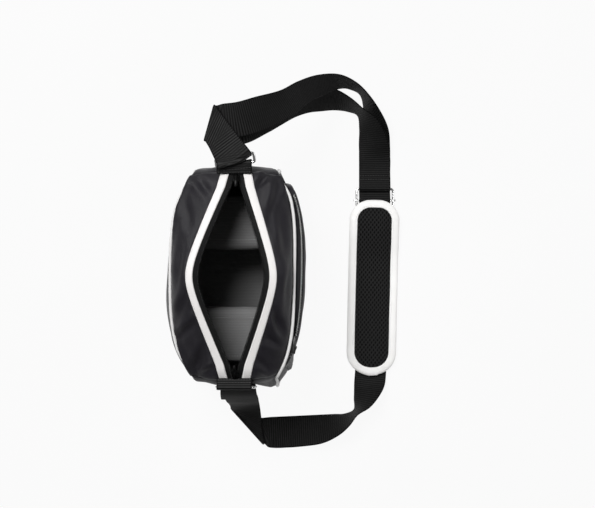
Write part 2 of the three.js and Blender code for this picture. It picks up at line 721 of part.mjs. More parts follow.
const NORTH_INNER = [
  [176, 16.7, 180.4, 172, 0, 41],
  [176.5, -4, 173, 188, -6],
  [184, -30.9, 151, 198, -18],
  [194.5, -46.5, 131, 203, -28],
  [205, -63.1, 108, 202, -36],
  [212.5, -81.1, 84, 196, -43],
  [217, -99.9, 58, 188, -48],
  [218.9, -121.7, 33, 176, -58],
  [213.4, -138.4, 25, 156, -72],
  [205.5, -151.4, 23, 132, -80],
  [190.8, -161.9, 20.2, 114, -55],
  [168.6, -168.8, 13.6, 98, -25],
  [148, -171.3, 5.4, 90],
  [130, STRAP_Y, 3.6, 90],
];

function addStrap() {
  const rows = (table) => table.map((columns) => row(...columns));
  const innerFold = 2;
  const outerFold = innerFold + WEB_THICK + 0.7;
  const ringRows = RING_TURN.map(([angle, slack]) => ({
    left: turnRow(NORTH_BAR, TURN_RADIUS + slack, angle).left,
    right: turnRow(NORTH_BAR, TURN_RADIUS, angle).right,
  }));
  const foldRows = turnRows(NORTH_FOLD, outerFold, 90, -90);
  const span = (share, drop) => between(ringRows.at(-1), foldRows[0], share, drop);
  const long = [
    ...rows(SOUTH_TAIL),
    ...turnRows(SOUTH_BAR, TURN_RADIUS, 225, -35),
    ...rows(SOUTH_DROP),
    ...turnRows(SOUTH_FOLD, 2.2, 90, 270),
    ...rows(SOUTH_FLOOR),
    ...rows(BUCKLE_PASS),
    ...rows(NORTH_OUTER),
    ...turnRows(NORTH_FOLD, innerFold, -90, 90),
    ...[0.75, 0.5, 0.25].map((share) => span(share, LAYER_STEP)),
  ];
  add("strap_long", ribbon(long, 16), BLACK_WEB);

  const back = [
    span(0.25, 2.5 * LAYER_STEP),
    ...ringRows,
    ...[0.25, 0.5, 0.75].map((share) => span(share)),
    ...foldRows,
    ...rows(NORTH_INNER),
    ...rows([[118, STRAP_Y, 7, 90]]),
    ...turnRows(SEWN_BAR, BUCKLE_WIRE + GAP + WEB_THICK / 2, 90, 270),
    ...rows([[118, STRAP_Y, 3.1, 90]]),
  ];
  add("strap_return", ribbon(back, 16), BLACK_WEB);
}

function addBuckle() {
  const frame = wireRing(2 * BUCKLE_HALF_WIDTH, BUCKLE_NORTH_X - BUCKLE_SOUTH_X, BUCKLE_WIRE, 4);
  add("buckle_frame", frame, METAL).position.set(BUCKLE_SOUTH_X, STRAP_Y, BUCKLE_Z);
  const rod = new THREE.CylinderGeometry(BUCKLE_WIRE, BUCKLE_WIRE, SLIDE_BAR_LENGTH, 10);
  const bar = add("buckle_bar", rod, METAL);
  bar.position.set(SLIDE_BAR_X, STRAP_Y, SLIDE_BAR_Z);
}

// Shoulder pad: a cushioned body inside a rolled binding, its north end lifted over the buckle
function addPad() {
  const half = PAD_LENGTH / 2;
  const across = PAD_WIDTH / 2;
  const arcs = cornerArcs([
    { x: -half, z: -across, radius: PAD_SOUTH_CORNER },
    { x: half, z: -across, radius: PAD_NORTH_CORNER },
    { x: half, z: across, radius: PAD_NORTH_CORNER },
    { x: -half, z: across, radius: PAD_SOUTH_CORNER },
  ]);
  const around = stations(arcs, 24, 7, true);
  const lift = (x) => PAD_LIFT * smoothstep(x, 30, 90) + 2 * smoothstep(-x, 70, 110);
  const point = ({ x, z, nx, nz }, inset, rise) => {
    const px = x - nx * inset;
    return new THREE.Vector3(px, z - nz * inset, PAD_LOW + lift(px) + rise);
  };
  // Columns: how far in from the edge, how far up
  const section = [
    [0.6, 2.2],
    [0, 4],
    [0.6, 5.8],
    [3, 7.4],
    [BINDING_WIDTH, 7.9],
    [BINDING_WIDTH, 0.3],
    [3, 0.6],
  ];
  const binding = around.map((at) => section.map(([inset, rise]) => point(at, inset, rise)));
  const edge = BINDING_WIDTH + GAP;
  const body = [[edge + 12, 0], [edge, 0.2], [edge, 7.4], [edge + 5, 8.4], [edge + 14, PAD_THICK]].map(
    ([inset, rise]) => around.map((at) => point(at, inset, rise)));
  const pad = new THREE.Group();
  pad.position.set(PAD_X, PAD_Y, 0);
  pad.rotation.z = degToRad(PAD_TURN);
  pad.add(add("pad_body", loft(body), BLACK_WEB));
  pad.add(add("pad_binding", loft(binding, { ring: true }), WHITE_TRIM));
  bag.add(pad);
}

addGusset();
addFaces();
addTop();
addZipSliders();
addPocket();
addLining();
addDividers();
addTabsAndRings();
addStrap();
addBuckle();
addPad();

export default bag;
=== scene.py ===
"""Looks of the camera shoulder bag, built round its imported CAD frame.

Shapes are worked out in millimetres, in the CAD's frame, and made in metres.
North is +X and south is -X; the front faces -Y.
"""

import math
from collections import namedtuple

import bpy
import numpy as np
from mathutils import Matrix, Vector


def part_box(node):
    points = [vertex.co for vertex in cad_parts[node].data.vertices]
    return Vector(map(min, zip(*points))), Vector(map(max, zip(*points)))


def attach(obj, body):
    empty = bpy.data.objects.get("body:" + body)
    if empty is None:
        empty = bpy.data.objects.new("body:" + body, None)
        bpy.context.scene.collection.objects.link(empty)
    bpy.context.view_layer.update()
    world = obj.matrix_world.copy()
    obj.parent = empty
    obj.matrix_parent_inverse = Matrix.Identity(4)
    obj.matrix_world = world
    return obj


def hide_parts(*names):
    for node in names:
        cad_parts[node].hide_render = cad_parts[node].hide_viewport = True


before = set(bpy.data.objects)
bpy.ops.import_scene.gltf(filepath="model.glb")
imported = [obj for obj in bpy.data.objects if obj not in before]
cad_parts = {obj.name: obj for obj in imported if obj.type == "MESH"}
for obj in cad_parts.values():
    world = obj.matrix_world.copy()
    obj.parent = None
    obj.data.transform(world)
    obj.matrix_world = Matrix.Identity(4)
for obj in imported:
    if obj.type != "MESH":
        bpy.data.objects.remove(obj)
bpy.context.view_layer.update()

MM = 0.001

# Each face: its side, bow past its seam and the bow's lean to the south, then its seam's half width at
# the ends, low and high, its swell, squareness and skew, and how much fuller it is low near the south end
Face = namedtuple("Face", "side bow lean low end swell power skew flare")
FACES = {
    "front": Face(-1, 5, 0, 45, 50.3, 18, 4, 0.018, 8),
    "back": Face(1, 14.2, 0.75, 48, 50.5, 23.7, 3.1, 0, 0),
}

# Face panels
BASE_HALF = 138
TOP_HALF = 117
SEAM_LOW = 2.5
SEAM_HIGH = 166
LOW_CORNER = 22
HIGH_CORNER = 18
CORNER_SLIT = 0.05
LOW_SWELL = 13
WALL = 2
GAP = 0.4
PIPING_RADIUS = 2.3
CORD_RADIUS = 1.8
SEAM_CLEAR = PIPING_RADIUS + 0.1
BASE_DROP = 2.5
TOP_CROWN = 9
BAG_MIDDLE = (0, 0, 100)

# The fuller low south end: the seam's share of it, and where it sets in along, up and at the seam
SEAM_FLARE = 0.4
FLARE_ALONG = (0.6, 0.92)
FLARE_UP = (70, 130)
FLARE_FADE = (0.88, 0.98)

# How much further the base's corners reach, and where that sets in along, across and up
Toe = namedtuple("Toe", "end side reach")
TOES = [Toe(-1, -1, 7), Toe(1, -1, -4), Toe(1, 1, -5)]
TOE_ALONG = (90, 134)
TOE_ACROSS = (0, 46)
TOE_UP = (60, 120)

# How far the cloth rolls aside and out over its seam, how far in from its edge, and where
ROLL_ASIDE = 3.6
ROLL_OUT = 1.2
ROLL_INSET = 6
ROLL_WIDTH = 4.8
ROLL_UP = (118, 150)
FRONT_COVERED = (80, 110)
BACK_COVERED = (24, 96)
BACK_BARE_X = -8
CORD_SUNK = 3
SUNK_ALONG = (84, 108)

# Points across the cloth's grids, and the steps along them
CLOTH_STEP = 3
FINE_STEP = 2
GUSSET_COLUMNS = 45
FACE_COLUMNS = 97
TOP_COLUMNS = 33
POCKET_COLUMNS = 91
DIVIDER_COLUMNS = 47
PAD_ROWS = 350
PAD_COLUMNS = 80

# Uneven waves of the soft pieces, and how far each face sways
Wave = namedtuple("Wave", "height size seed")
WAVES = {
    "end_dents": Wave(0.7, 46, 4),
    "end_puckers": Wave(0.35, 11, 5),
    "face_sway": Wave(1, 74, 11),
    "face_puckers": Wave(0.4, 12, 21),
    "cord": Wave(0.035, 9, 31),
    "top_dents": Wave(1.1, 38, 41),
    "top_puckers": Wave(0.45, 9, 51),
    "trim": Wave(0.12, 15, 61),
    "pocket_side": Wave(0.15, 14, 71),
    "pocket_sway": Wave(0.3, 66, 81),
    "pocket_puckers": Wave(0.25, 10, 82),
    "lining": Wave(0.5, 48, 91),
    "divider": Wave(0.05, 30, 95),
    "binding_creases": Wave(0.22, 8, 101),
    "binding_sway": Wave(0.3, 34, 102),
    "pad_crown": Wave(0.3, 40, 103),
}
FACE_SWAY = {"front": 0.35, "back": 1.1}

# Stitches, the share of a tube's radius that its ends keep, and a direction that no tube runs in
STITCH_PITCH = 3.2
STITCH_LENGTH = 2.3
STITCH_RADIUS = 0.3
TUBE_END = 0.12
ASLANT = (0.31, 0.17, 0.93)

# Zip mouth
MOUTH_HALF = 116
MOUTH_ROUNDING = 0.18
NORTH_DRIFT = -2.4
SOUTH_DRIFT = -0.5
OPEN_DRIFT = 2.6
TOP_SPREAD = 48
TOP_FOLD_DEPTH = 1.7
TRIM_RISE = 1.5
TRIM_THICK = 1.6
ZIP_WIDTH = 6.5
ZIP_DROP = 2.5
COIL_PITCH = 1.7
COIL_RADIUS = 0.95
COIL_WIRE = 0.4
SLIDER_RISE = 3
SLIDER_LEAN = 18
PULLER_LENGTH = 9

# Sizes that go from the zip's closed ends to the open middle
LIP_WIDTH = (16.4, 51.5)
LIP_RISE = (9, 30)
CLIMB_WIDTH = (-9, 2)
CLIMB_RISE = (6, 17)
LIP_EASE = (11, 8)
TRIM_WIDTH = (10.2, 8.2)
ZIP_SINK = (1.8, 0.7)

# Front pocket
POCKET_BASE_HALF = 119
POCKET_TOP_HALF = 104
POCKET_LOW = 14
POCKET_HIGH = 156
POCKET_LOW_CORNER = 20
POCKET_HIGH_CORNER = 16
POCKET_DEPTH = 8.3
POCKET_END_DEPTH = 2.2
POCKET_FULLEST_X = 10
POCKET_ZIP_SHARE = 0.86
POCKET_WALL = 1.6
POCKET_BOW = 1.6
POCKET_SEAM = 4.5
POCKET_ZIP_HALF = 93
POCKET_TEETH = 125
POCKET_PULLER_LENGTH = 13
POCKET_PULLER_FLAT = 0.75

# Lining and dividers
LINING_LEVELS = np.concatenate([[5.2, 6.5, 9, 13], np.arange(18, 157, 4.6)])
LINING_THICK = 1.2
LINING_CLEAR = WALL + PIPING_RADIUS + GAP
DIVIDER_THICK = 7
DIVIDER_HALF_WIDTH = 48.5
DIVIDER_LOW = 9.6
DIVIDER_HEIGHT = 104
DIVIDER_ARCH = 3.4
NORTH_DIVIDER_X = 33
SOUTH_DIVIDER_X = -42
FLAP_LENGTH = 62
FLAP_THICK = 5
FLAP_DROP = 4

# Webbing, rings and tabs
WEB_WIDTH = 40
WEB_THICK = 1.5
WEB_STEP = 0.6
RIB_PITCH = 2.8
RIB_HEIGHT = 0.3
WIRE_RADIUS = 1.6
RING_INNER_LENGTH = 41
RING_PITCH = 11
RING_CORNER = 2.4
NORTH_RING_TURN = 10
TAB_WIDTH = 40
TAB_ROOT = 10
TAB_LEAN = 20
BAR_X = 126.5
BAR_Z = 177.5
TURN_RADIUS = WIRE_RADIUS + GAP + WEB_THICK / 2
LAYER_STEP = 2.2

# Each ring: the end it is at, its tilt and turn in its tab, and how far it is pulled aside
Ring = namedtuple("Ring", "name end tilt turn aside")
RINGS = [Ring("north", 1, 25, NORTH_RING_TURN, -2), Ring("south", -1, -86, 0, 2)]

# Lengths of webbing, from their start, that are painted paler as painted sheen where they catch the light,
# and how that fades
TAB_PAINTED_SHEEN = 120
RETURN_PAINTED_SHEEN = 78
PAINTED_SHEEN_FADE = (-12, 1)

# Rows of stitches over a tab, as shares of the way from beside the ring's bar to its root
TAB_STITCHES = (0, 0.75)

# The strap's slack over the north tab, and where it hangs: above the bar, beyond it and across
TAB_SLACK = 5
SLACK_ABOVE = (-0.5, 2.5)
SLACK_BEYOND = (-4, 12)
SLACK_ACROSS = (-1, -0.45)

# Buckle and the strap's sewn end, with the x and z of its rows of stitches
STRAP_Y = -171.3
BUCKLE_NORTH_X = 109
BUCKLE_SOUTH_X = 84
BUCKLE_HALF_WIDTH = 23.4
BUCKLE_CORNER = 4
BUCKLE_Z = 5.6
BUCKLE_WIRE = 1.5
SLIDE_BAR_X = 94
SLIDE_BAR_Z = 1.9
SLIDE_BAR_LENGTH = 54
SEWN_ROWS = [(121, 6.9), (125.5, 5.6)]

# Pad, its bound edge and the pitch of its mesh
PAD_LENGTH = 225
PAD_WIDTH = 64.2
PAD_NORTH_CORNER = 27
PAD_SOUTH_CORNER = 30
PAD_X = -18
PAD_Y = -168.6
PAD_TURN = -1.3
PAD_LOW = 2.2
PAD_NORTH_LIFT = 5.6
PAD_SOUTH_LIFT = 2
PAD_RIM = 7.2
PAD_CROWN = 2
BINDING_WIDTH = 10
MESH_ALONG = 6.4
MESH_ACROSS = 4.95
MESH_DENT = 0.75

# Camera straight above the bag, in metres and degrees
CAMERA_PLACE = (0.025, -0.072, 1.5)
CAMERA_ANGLE = 28.7


# Arithmetic on arrays of points

def lerp(start, end, share):
    return start + (end - start) * share


def smoothstep(value, low, high):
    share = np.clip((value - low) / (high - low), 0, 1)
    return share * share * (3 - 2 * share)


def unit(vectors):
    return vectors / np.maximum(np.linalg.norm(vectors, axis=-1, keepdims=True), 1e-9)


def points(x, y, z):
    return np.stack(np.broadcast_arrays(x, y, z), -1).astype(float)


def ripples(a, b, size, seed, count=9):
    """Smooth uneven waves about one unit high, from fixed directions."""
    draw = np.random.default_rng(seed)
    total = 0
    for _ in range(count):
        turn = draw.uniform(0, 2 * math.pi)
        wave = 2 * math.pi / (size * draw.uniform(0.7, 1.6))
        phase = draw.uniform(0, 2 * math.pi)
        total = total + np.sin((a * math.cos(turn) + b * math.sin(turn)) * wave + phase)
    return total / math.sqrt(count)


def waved(name, a, b, more=0):
    """Waves of a named kind, with a draw of their own for each face."""
    wave = WAVES[name]
    return wave.height * ripples(a, b, wave.size, wave.seed + more)


Fold = namedtuple("Fold", "a b turn length width depth")


def creases(a, b, folds):
    """Valleys, each with a low ridge beside it, that fade out along their length."""
    total = np.zeros(np.broadcast(a, b).shape)
    for fold in folds:
        turn = math.radians(fold.turn)
        along = (a - fold.a) * math.cos(turn) + (b - fold.b) * math.sin(turn)
        across = (b - fold.b) * math.cos(turn) - (a - fold.a) * math.sin(turn)
        valley = np.exp(-((across / fold.width) ** 2))
        ridge = 0.6 * np.exp(-(((across - 1.6 * fold.width) / fold.width) ** 2))
        total += fold.depth * (ridge - valley) * np.exp(-((along / fold.length) ** 2))
    return total


def smooth_line(knots, counts):
    """Centripetal curve through the knots, with that many steps in each span."""
    knots = np.asarray(knots, float)
    padded = np.vstack([2 * knots[0] - knots[1], knots, 2 * knots[-1] - knots[-2]])
    spans = []
    for i, count in enumerate(counts):
        a, b, c, d = padded[i:i + 4]
        before, here, after = (np.linalg.norm(v) ** 0.5 for v in (b - a, c - b, d - c))
        start = ((b - a) / before - (c - a) / (before + here) + (c - b) / here) * here
        end = ((c - b) / here - (d - b) / (here + after) + (d - c) / after) * here
        t = np.arange(count)[:, None] / count
        bend = 3 * (c - b) - 2 * start - end
        spans.append(b + start * t + bend * t ** 2 + (2 * (b - c) + start + end) * t ** 3)
    return np.vstack([*spans, knots[-1:]])


def running_length(line):
    steps = np.linalg.norm(np.diff(line, axis=0), axis=-1)
    return np.concatenate([[0], np.cumsum(steps)])


def evenly(line, step):
    """The same line with its points one step apart."""
    length = running_length(line)
    wanted = np.linspace(0, length[-1], max(2, round(length[-1] / step) + 1))
    return np.stack([np.interp(wanted, length, line[:, k]) for k in range(3)], -1)


def grid_normals(grid, away_from):
    """Directions square to a grid of points, turned away from a place."""
    normal = unit(np.cross(np.gradient(grid, axis=0), np.gradient(grid, axis=1)))
    outward = ((grid - np.asarray(away_from, float)) * normal).sum(-1).mean()
    return normal if outward > 0 else -normal


# Meshes

def edge_lengths(loops, axis, closed):
    """Mean running length along one direction of a grid of points."""
    end = np.take(loops, [0], axis) if closed else np.take(loops, [-1], axis)
    steps = np.linalg.norm(np.diff(loops, axis=axis, append=end), axis=-1).mean(1 - axis)
    return np.concatenate([[0], np.cumsum(steps)])


def loft(loops, ring=False):
    """Closed loops joined into one mesh, its ends closed straight across: points, quads and UVs."""
    rows, cols, _ = loops.shape
    row, col = np.meshgrid(np.arange(rows if ring else rows - 1), np.arange(cols), indexing="ij")
    next_row, next_col = (row + 1) % rows, (col + 1) % cols
    corners = [(row, col), (row, next_col), (next_row, next_col), (next_row, col)]
    quads = np.stack([r * cols + c for r, c in corners], -1).reshape(-1, 4)
    along = edge_lengths(loops, 0, ring)
    around = edge_lengths(loops, 1, True)
    places = [(row, col), (row, col + 1), (row + 1, col + 1), (row + 1, col)]
    uvs = np.stack([np.stack([along[r], around[c]], -1) for r, c in places], 2).reshape(-1, 4, 2)
    if not ring:
        near = np.arange(cols // 2 - 1)
        far = cols - 1 - near
        cap = np.stack([far, far - 1, near + 1, near], -1)
        quads = np.concatenate([quads, cap, cap[:, ::-1] + (rows - 1) * cols])
        cap_uvs = np.stack([around[cap], along[0 * cap]], -1)
        uvs = np.concatenate([uvs, cap_uvs, cap_uvs[:, ::-1]])
    return loops.reshape(-1, 3), quads, uvs


def outward(vertices, faces):
    """True if a closed mesh's faces turn outwards."""
    a, b, c, d = (vertices[faces[:, k]] for k in range(4))
    return (a * (np.cross(b, c) + np.cross(c, d))).sum() > 0


def put_in_scene(name, data):
    thing = bpy.data.objects.new(name, data)
    bpy.context.scene.collection.objects.link(thing)
    return thing


def make(name, solid, look, replaced=(), under=None, under_faces=None):
    """One piece of the model from points in millimetres, riding on the bag."""
    vertices, faces, uvs = solid
    if not outward(vertices, faces):
        faces = faces[:, ::-1]
        uvs = uvs[:, ::-1]
    mesh = bpy.data.meshes.new(name)
    mesh.from_pydata((vertices * MM).tolist(), [], faces.tolist())
    layer = mesh.uv_layers.new(name="weave")
    layer.uv.foreach_set("vector", (uvs * MM).astype(np.float32).ravel())
    mesh.shade_smooth()
    mesh.materials.append(look)
    if under is not None:
        mesh.materials.append(under)
        index = np.zeros(len(faces), np.int32)
        index[under_faces] = 1
        mesh.polygons.foreach_set("material_index", index)
    piece = put_in_scene(name, mesh)
    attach(piece, "root")
    if replaced:
        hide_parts(*replaced)
    return piece


def mark(piece, name, values):
    """One number for each point of a piece, for its material."""
    layer = piece.data.attributes.new(name, "FLOAT", "POINT")
    layer.data.foreach_set("value", values.astype(np.float32).ravel())


def joined(solids):
    """Several solids as one."""
    vertices, faces, uvs = [], [], []
    count = 0
    for points_in, faces_in, uvs_in in solids:
        vertices.append(points_in)
        faces.append(faces_in + count)
        uvs.append(uvs_in)
        count += len(points_in)
    return np.concatenate(vertices), np.concatenate(faces), np.concatenate(uvs)


def shell(upper, lower):
    """A sheet's two sides as closed loops."""
    return np.concatenate([upper, lower[:, ::-1]], axis=1)


def sheet(upper, lower):
    return loft(shell(upper, lower))


def full_turn(sides):
    return np.arange(sides) / sides * 2 * math.pi


def tube(line, radius, sides):
    """Round wire along a line of points, its radius one number or one for each point."""
    line = np.asarray(line, float)
    along = unit(np.gradient(line, axis=0))
    first = unit(np.cross(along, ASLANT))
    second = np.cross(along, first)
    turn = full_turn(sides)[None, :, None]
    radius = np.broadcast_to(radius, len(line))[:, None, None]
    loops = line[:, None] + radius * (np.cos(turn) * first[:, None] + np.sin(turn) * second[:, None])
    ends = lerp(loops, loops.mean(1, keepdims=True), 1 - TUBE_END)
    return loft(np.concatenate([ends[:1], loops, ends[-1:]]))


def stitch_row(line):
    """Short rounded threads laid along a line."""
    laid = evenly(line, STITCH_PITCH)
    along = unit(np.gradient(laid, axis=0))
    share = np.linspace(-0.5, 0.5, 5)
    width = STITCH_RADIUS * np.array([0.35, 0.9, 1, 0.9, 0.35])
    return [tube(p + d * STITCH_LENGTH * share[:, None], width, 6) for p, d in zip(laid, along)]


# Rounded outlines in X and Z

Arc = namedtuple("Arc", "centre radius start end")


def corner_arcs(corners):
    """Arcs of a polygon's rounded corners, counter-clockwise; columns x, z, radius."""
    arcs = []
    for i, (x, z, radius) in enumerate(corners):
        here = np.array([x, z], float)
        back = unit(np.array(corners[i - 1][:2]) - here)
        ahead = unit(np.array(corners[(i + 1) % len(corners)][:2]) - here)
        half = math.acos(back @ ahead) / 2
        centre = here + unit(back + ahead) * radius / math.sin(half)
        start = here + back * radius / math.tan(half) - centre
        end = here + ahead * radius / math.tan(half) - centre
        first = math.atan2(start[1], start[0])
        last = math.atan2(end[1], end[0])
        arcs.append(Arc(centre, radius, first, last + 2 * math.pi * (last < first)))
    return arcs


def trace(arcs, step, closed=False):
    """Points along arcs and the straights between them, and their outward directions."""
    found = []
    for i, arc in enumerate(arcs):
        count = max(3, math.ceil(arc.radius * (arc.end - arc.start) / step))
        turn = np.linspace(arc.start, arc.end, count + 1)
        normal = np.stack([np.cos(turn), np.sin(turn)], -1)
        found.append((arc.centre + arc.radius * normal, normal))
        if closed or i < len(arcs) - 1:
            following = arcs[(i + 1) % len(arcs)]
            leave = arc.centre + arc.radius * normal[-1]
            reach = following.centre + following.radius * np.array(
                [math.cos(following.start), math.sin(following.start)])
            count = max(2, math.ceil(np.linalg.norm(reach - leave) / step))
            share = np.arange(1, count)[:, None] / count
            found.append((lerp(leave, reach, share), np.repeat(normal[-1:], count - 1, 0)))
    place = np.concatenate([p for p, _ in found])
    normal = np.concatenate([n for _, n in found])
    return place[:, 0], place[:, 1], normal[:, 0], normal[:, 1]


def trapezoid(base_half, top_half, low, high, low_radius, high_radius):
    return corner_arcs([
        (-base_half, low, low_radius),
        (base_half, low, low_radius),
        (top_half, high, high_radius),
        (-top_half, high, high_radius),
    ])


BODY_ARCS = trapezoid(BASE_HALF, TOP_HALF, SEAM_LOW, SEAM_HIGH, LOW_CORNER, HIGH_CORNER)
LOW_SOUTH, LOW_NORTH, HIGH_NORTH, HIGH_SOUTH = BODY_ARCS
POCKET_ARCS = trapezoid(POCKET_BASE_HALF, POCKET_TOP_HALF, POCKET_LOW, POCKET_HIGH,
                        POCKET_LOW_CORNER, POCKET_HIGH_CORNER)


def panel_rows(arcs, inset, step):
    """Levels up a rounded panel and its half length at each, its edge moved in."""
    low, high = arcs[1], arcs[2]
    turn = np.linspace(0, math.pi / 2, 9)
    low_radius = low.radius - inset
    high_radius = high.radius - inset
    rise = low.centre[1] - low_radius * np.cos(turn)
    fall = high.centre[1] + high_radius * np.sin(turn)
    count = math.ceil((high.centre[1] - low.centre[1]) / step)
    straight = np.linspace(low.centre[1], high.centre[1], count + 1)[1:-1]
    levels = np.concatenate([rise, straight, fall])
    share = (straight - low.centre[1]) / (high.centre[1] - low.centre[1])
    side = lerp(low.centre[0] + low_radius, high.centre[0] + high_radius, share)
    half = np.concatenate([
        low.centre[0] + low_radius * np.sin(turn), side, high.centre[0] + high_radius * np.cos(turn)])
    return levels, half


def half_length(z):
    return lerp(BASE_HALF, TOP_HALF, (z - SEAM_LOW) / (SEAM_HIGH - SEAM_LOW))


def low_flare(face, x, z):
    """How much fuller a face is low near the south end."""
    south = np.minimum(1, np.maximum(0, -x) / half_length(z))
    return face.flare * smoothstep(south, *FLARE_ALONG) * (1 - smoothstep(z, *FLARE_UP))


def seam_half_width(face, x, z):
    up = np.clip(z / SEAM_HIGH, 0, 1)
    swell = lerp(LOW_SWELL, face.swell, up)
    reach = np.minimum(1, np.abs(x) / half_length(z))
    flare = SEAM_FLARE * low_flare(face, x, z)
    return lerp(face.low, face.end, up) + face.skew * x + swell * (1 - reach ** face.power) + flare


def face_out(face, x, z):
    """Distance of a face panel from the middle plane."""
    reach = np.clip(x / half_length(z), -1, 1)
    along = (1 - reach ** 2) * (1 - face.lean * reach)
    middle = (SEAM_LOW + SEAM_HIGH) / 2
    up = 1 - np.minimum(1, np.abs(z - middle) / (SEAM_HIGH - middle)) ** 2
    past_seam = (1 - SEAM_FLARE) * low_flare(face, x, z) * (1 - smoothstep(-reach, *FLARE_FADE))
    return seam_half_width(face, x, z) + face.bow * along * up + past_seam


# Materials

GLOSS = "Specular IOR Level"

# Sockets of the node that mixes two colours
MIX_DARK, MIX_LIGHT, MIX_RESULT = 6, 7, 2

Relief = namedtuple("Relief", "height depth strength")


class Look:
    """A material with its shader's plain values, and the node moves that the looks share."""

    def __init__(self, name, values):
        self.material = bpy.data.materials.new(name)
        self.material.use_nodes = True
        self.tree = self.material.node_tree
        self.shader = next(n for n in self.tree.nodes if n.type == "BSDF_PRINCIPLED")
        self.fill(self.shader, values)

    def fill(self, node, values):
        """Inputs of a node, each set to a value or joined to another node's result."""
        for key, value in values.items():
            if isinstance(value, bpy.types.NodeSocket):
                self.tree.links.new(value, node.inputs[key])
            else:
                node.inputs[key].default_value = value

    def node(self, kind, values, **settings):
        """Results of a new node."""
        node = self.tree.nodes.new("ShaderNode" + kind)
        for key, value in settings.items():
            setattr(node, key, value)
        self.fill(node, values)
        return node.outputs

    def math(self, operation, first, second=0.0):
        return self.node("Math", {0: first, 1: second}, operation=operation)[0]

    def blend(self, first, second, share):
        """A share of the first number and the rest of the second."""
        return self.math("ADD", self.math("MULTIPLY", first, share), self.math("MULTIPLY", second, 1 - share))

    def weave(self):
        """Lengths along and across the piece, in metres."""
        uv = self.node("UVMap", {}, uv_map="weave")[0]
        return self.node("SeparateXYZ", {0: uv})[:2]

    def place(self):
        """Place in the bag's frame, in metres."""
        return self.node("TexCoord", {})["Object"]

    def marked(self, name):
        """The number that each point was marked with."""
        return self.node("Attribute", {}, attribute_name=name)["Fac"]

    def waves(self, length, pitch):
        """Ridges from 0 to 1 along a length, in metres."""
        turned = self.math("MULTIPLY", length, 2 * math.pi / (pitch * MM))
        return self.math("ADD", self.math("MULTIPLY", self.math("SINE", turned), 0.5), 0.5)

    def noise(self, size, detail=2.0):
        """Uneven patches of about that size in millimetres, from 0 to 1."""
        values = {"Vector": self.place(), "Scale": 1 / (size * MM), "Detail": detail}
        return self.node("TexNoise", values)["Fac"]

    def colour(self, shade, dark, light):
        values = {0: shade, MIX_DARK: (*dark, 1), MIX_LIGHT: (*light, 1)}
        self.fill(self.shader, {"Base Color": self.node("Mix", values, data_type="RGBA")[MIX_RESULT]})

    def dress(self, shade, tones, marks, rough, *reliefs):
        """The material, with two tones, roughness by its marks and layers of relief in millimetres."""
        self.colour(shade, *tones)
        spread = self.node("MapRange", {"Value": marks, "To Min": rough[0], "To Max": rough[1]})
        self.fill(self.shader, {"Roughness": spread[0]})
        under = {}
        for height, depth, strength in reliefs:
            values = {"Strength": strength, "Distance": depth * MM, "Height": height, **under}
            under = {"Normal": self.node("Bump", values)[0]}
        self.fill(self.shader, under)
        return self.material


def cloth_look(name, tones, rough, pitch, values):
    """Twill: fine diagonal ridges, uneven colour and a faint crumple."""
    look = Look(name, values)
    along, across = look.weave()
    diagonal = look.waves(look.math("ADD", along, across), pitch)
    threads = look.waves(look.math("SUBTRACT", along, across), pitch * 0.7)
    patches = look.noise(26)
    crumple = Relief(look.noise(7, 3), 0.5, 0.35)
    woven = Relief(look.blend(diagonal, threads, 0.7), 0.14, 0.8)
    return look.dress(look.blend(diagonal, patches, 0.3), tones, patches, rough, crumple, woven)


def tape_look(name, tones, rough, pitch, depth, gloss):
    """Smooth tape or cord: fine ribs across it and faint marks of handling."""
    look = Look(name, {GLOSS: gloss})
    along, across = look.weave()
    ribs = look.math("MULTIPLY", look.waves(along, pitch), look.waves(across, pitch * 1.3))
    marks = look.noise(9, 4)
    return look.dress(marks, tones, marks, rough, Relief(ribs, depth, 0.7))


def thread_look(name, tones):
    return tape_look(name, tones, (0.5, 0.6), 0.5, 0.05, 0.5)


def web_look(name, tones):
    """Webbing: painted shade darkens it between its ribs and painted sheen makes its marked start paler, with
    fine threads along it.
    """
    look = Look(name, {GLOSS: 0.08})
    _, across = look.weave()
    threads = look.waves(across, 1.3)
    marks = look.noise(22, 3)
    tone_and_painted_sheen = look.math("ADD", look.blend(threads, marks, 0.3), 0.4)
    # Painted shade: the colour goes dark between the ribs, where shade falls.
    ribs = look.math("MULTIPLY", look.math("POWER", look.marked("rib"), 2.0), tone_and_painted_sheen)
    # Painted sheen: the marked start of the webbing is painted up to twice as pale.
    painted_sheen_lift = look.math("ADD", look.math("MULTIPLY", look.marked("painted_sheen"), 0.5), 0.5)
    shade = look.math("MULTIPLY", ribs, painted_sheen_lift)
    return look.dress(shade, tones, marks, (0.55, 0.75), Relief(threads, 0.1, 0.6))


def grain_look(name, tones):
    """Smooth synthetic leather with a soft grain."""
    look = Look(name, {GLOSS: 0.35})
    marks = look.noise(14, 4)
    soft = Relief(look.noise(6), 0.25, 0.5)
    grain = Relief(look.noise(1.1), 0.08, 0.6)
    return look.dress(marks, tones, marks, (0.4, 0.55), soft, grain)


def lining_look(name, tones):
    """Lining with fine ribs that run across the bag."""
    look = Look(name, {GLOSS: 0.2, "Sheen Weight": 0.1})
    x, y, z = look.node("SeparateXYZ", {0: look.place()})
    ribs = look.waves(x, 1.9)
    cross = look.waves(look.math("ADD", y, z), 0.9)
    patches = look.noise(30)
    crumple = Relief(look.noise(10), 0.5, 0.3)
    woven = Relief(look.math("ADD", ribs, look.math("MULTIPLY", cross, 0.3)), 0.25, 0.8)
    return look.dress(look.blend(ribs, patches, 0.45), tones, patches, (0.6, 0.75), crumple, woven)


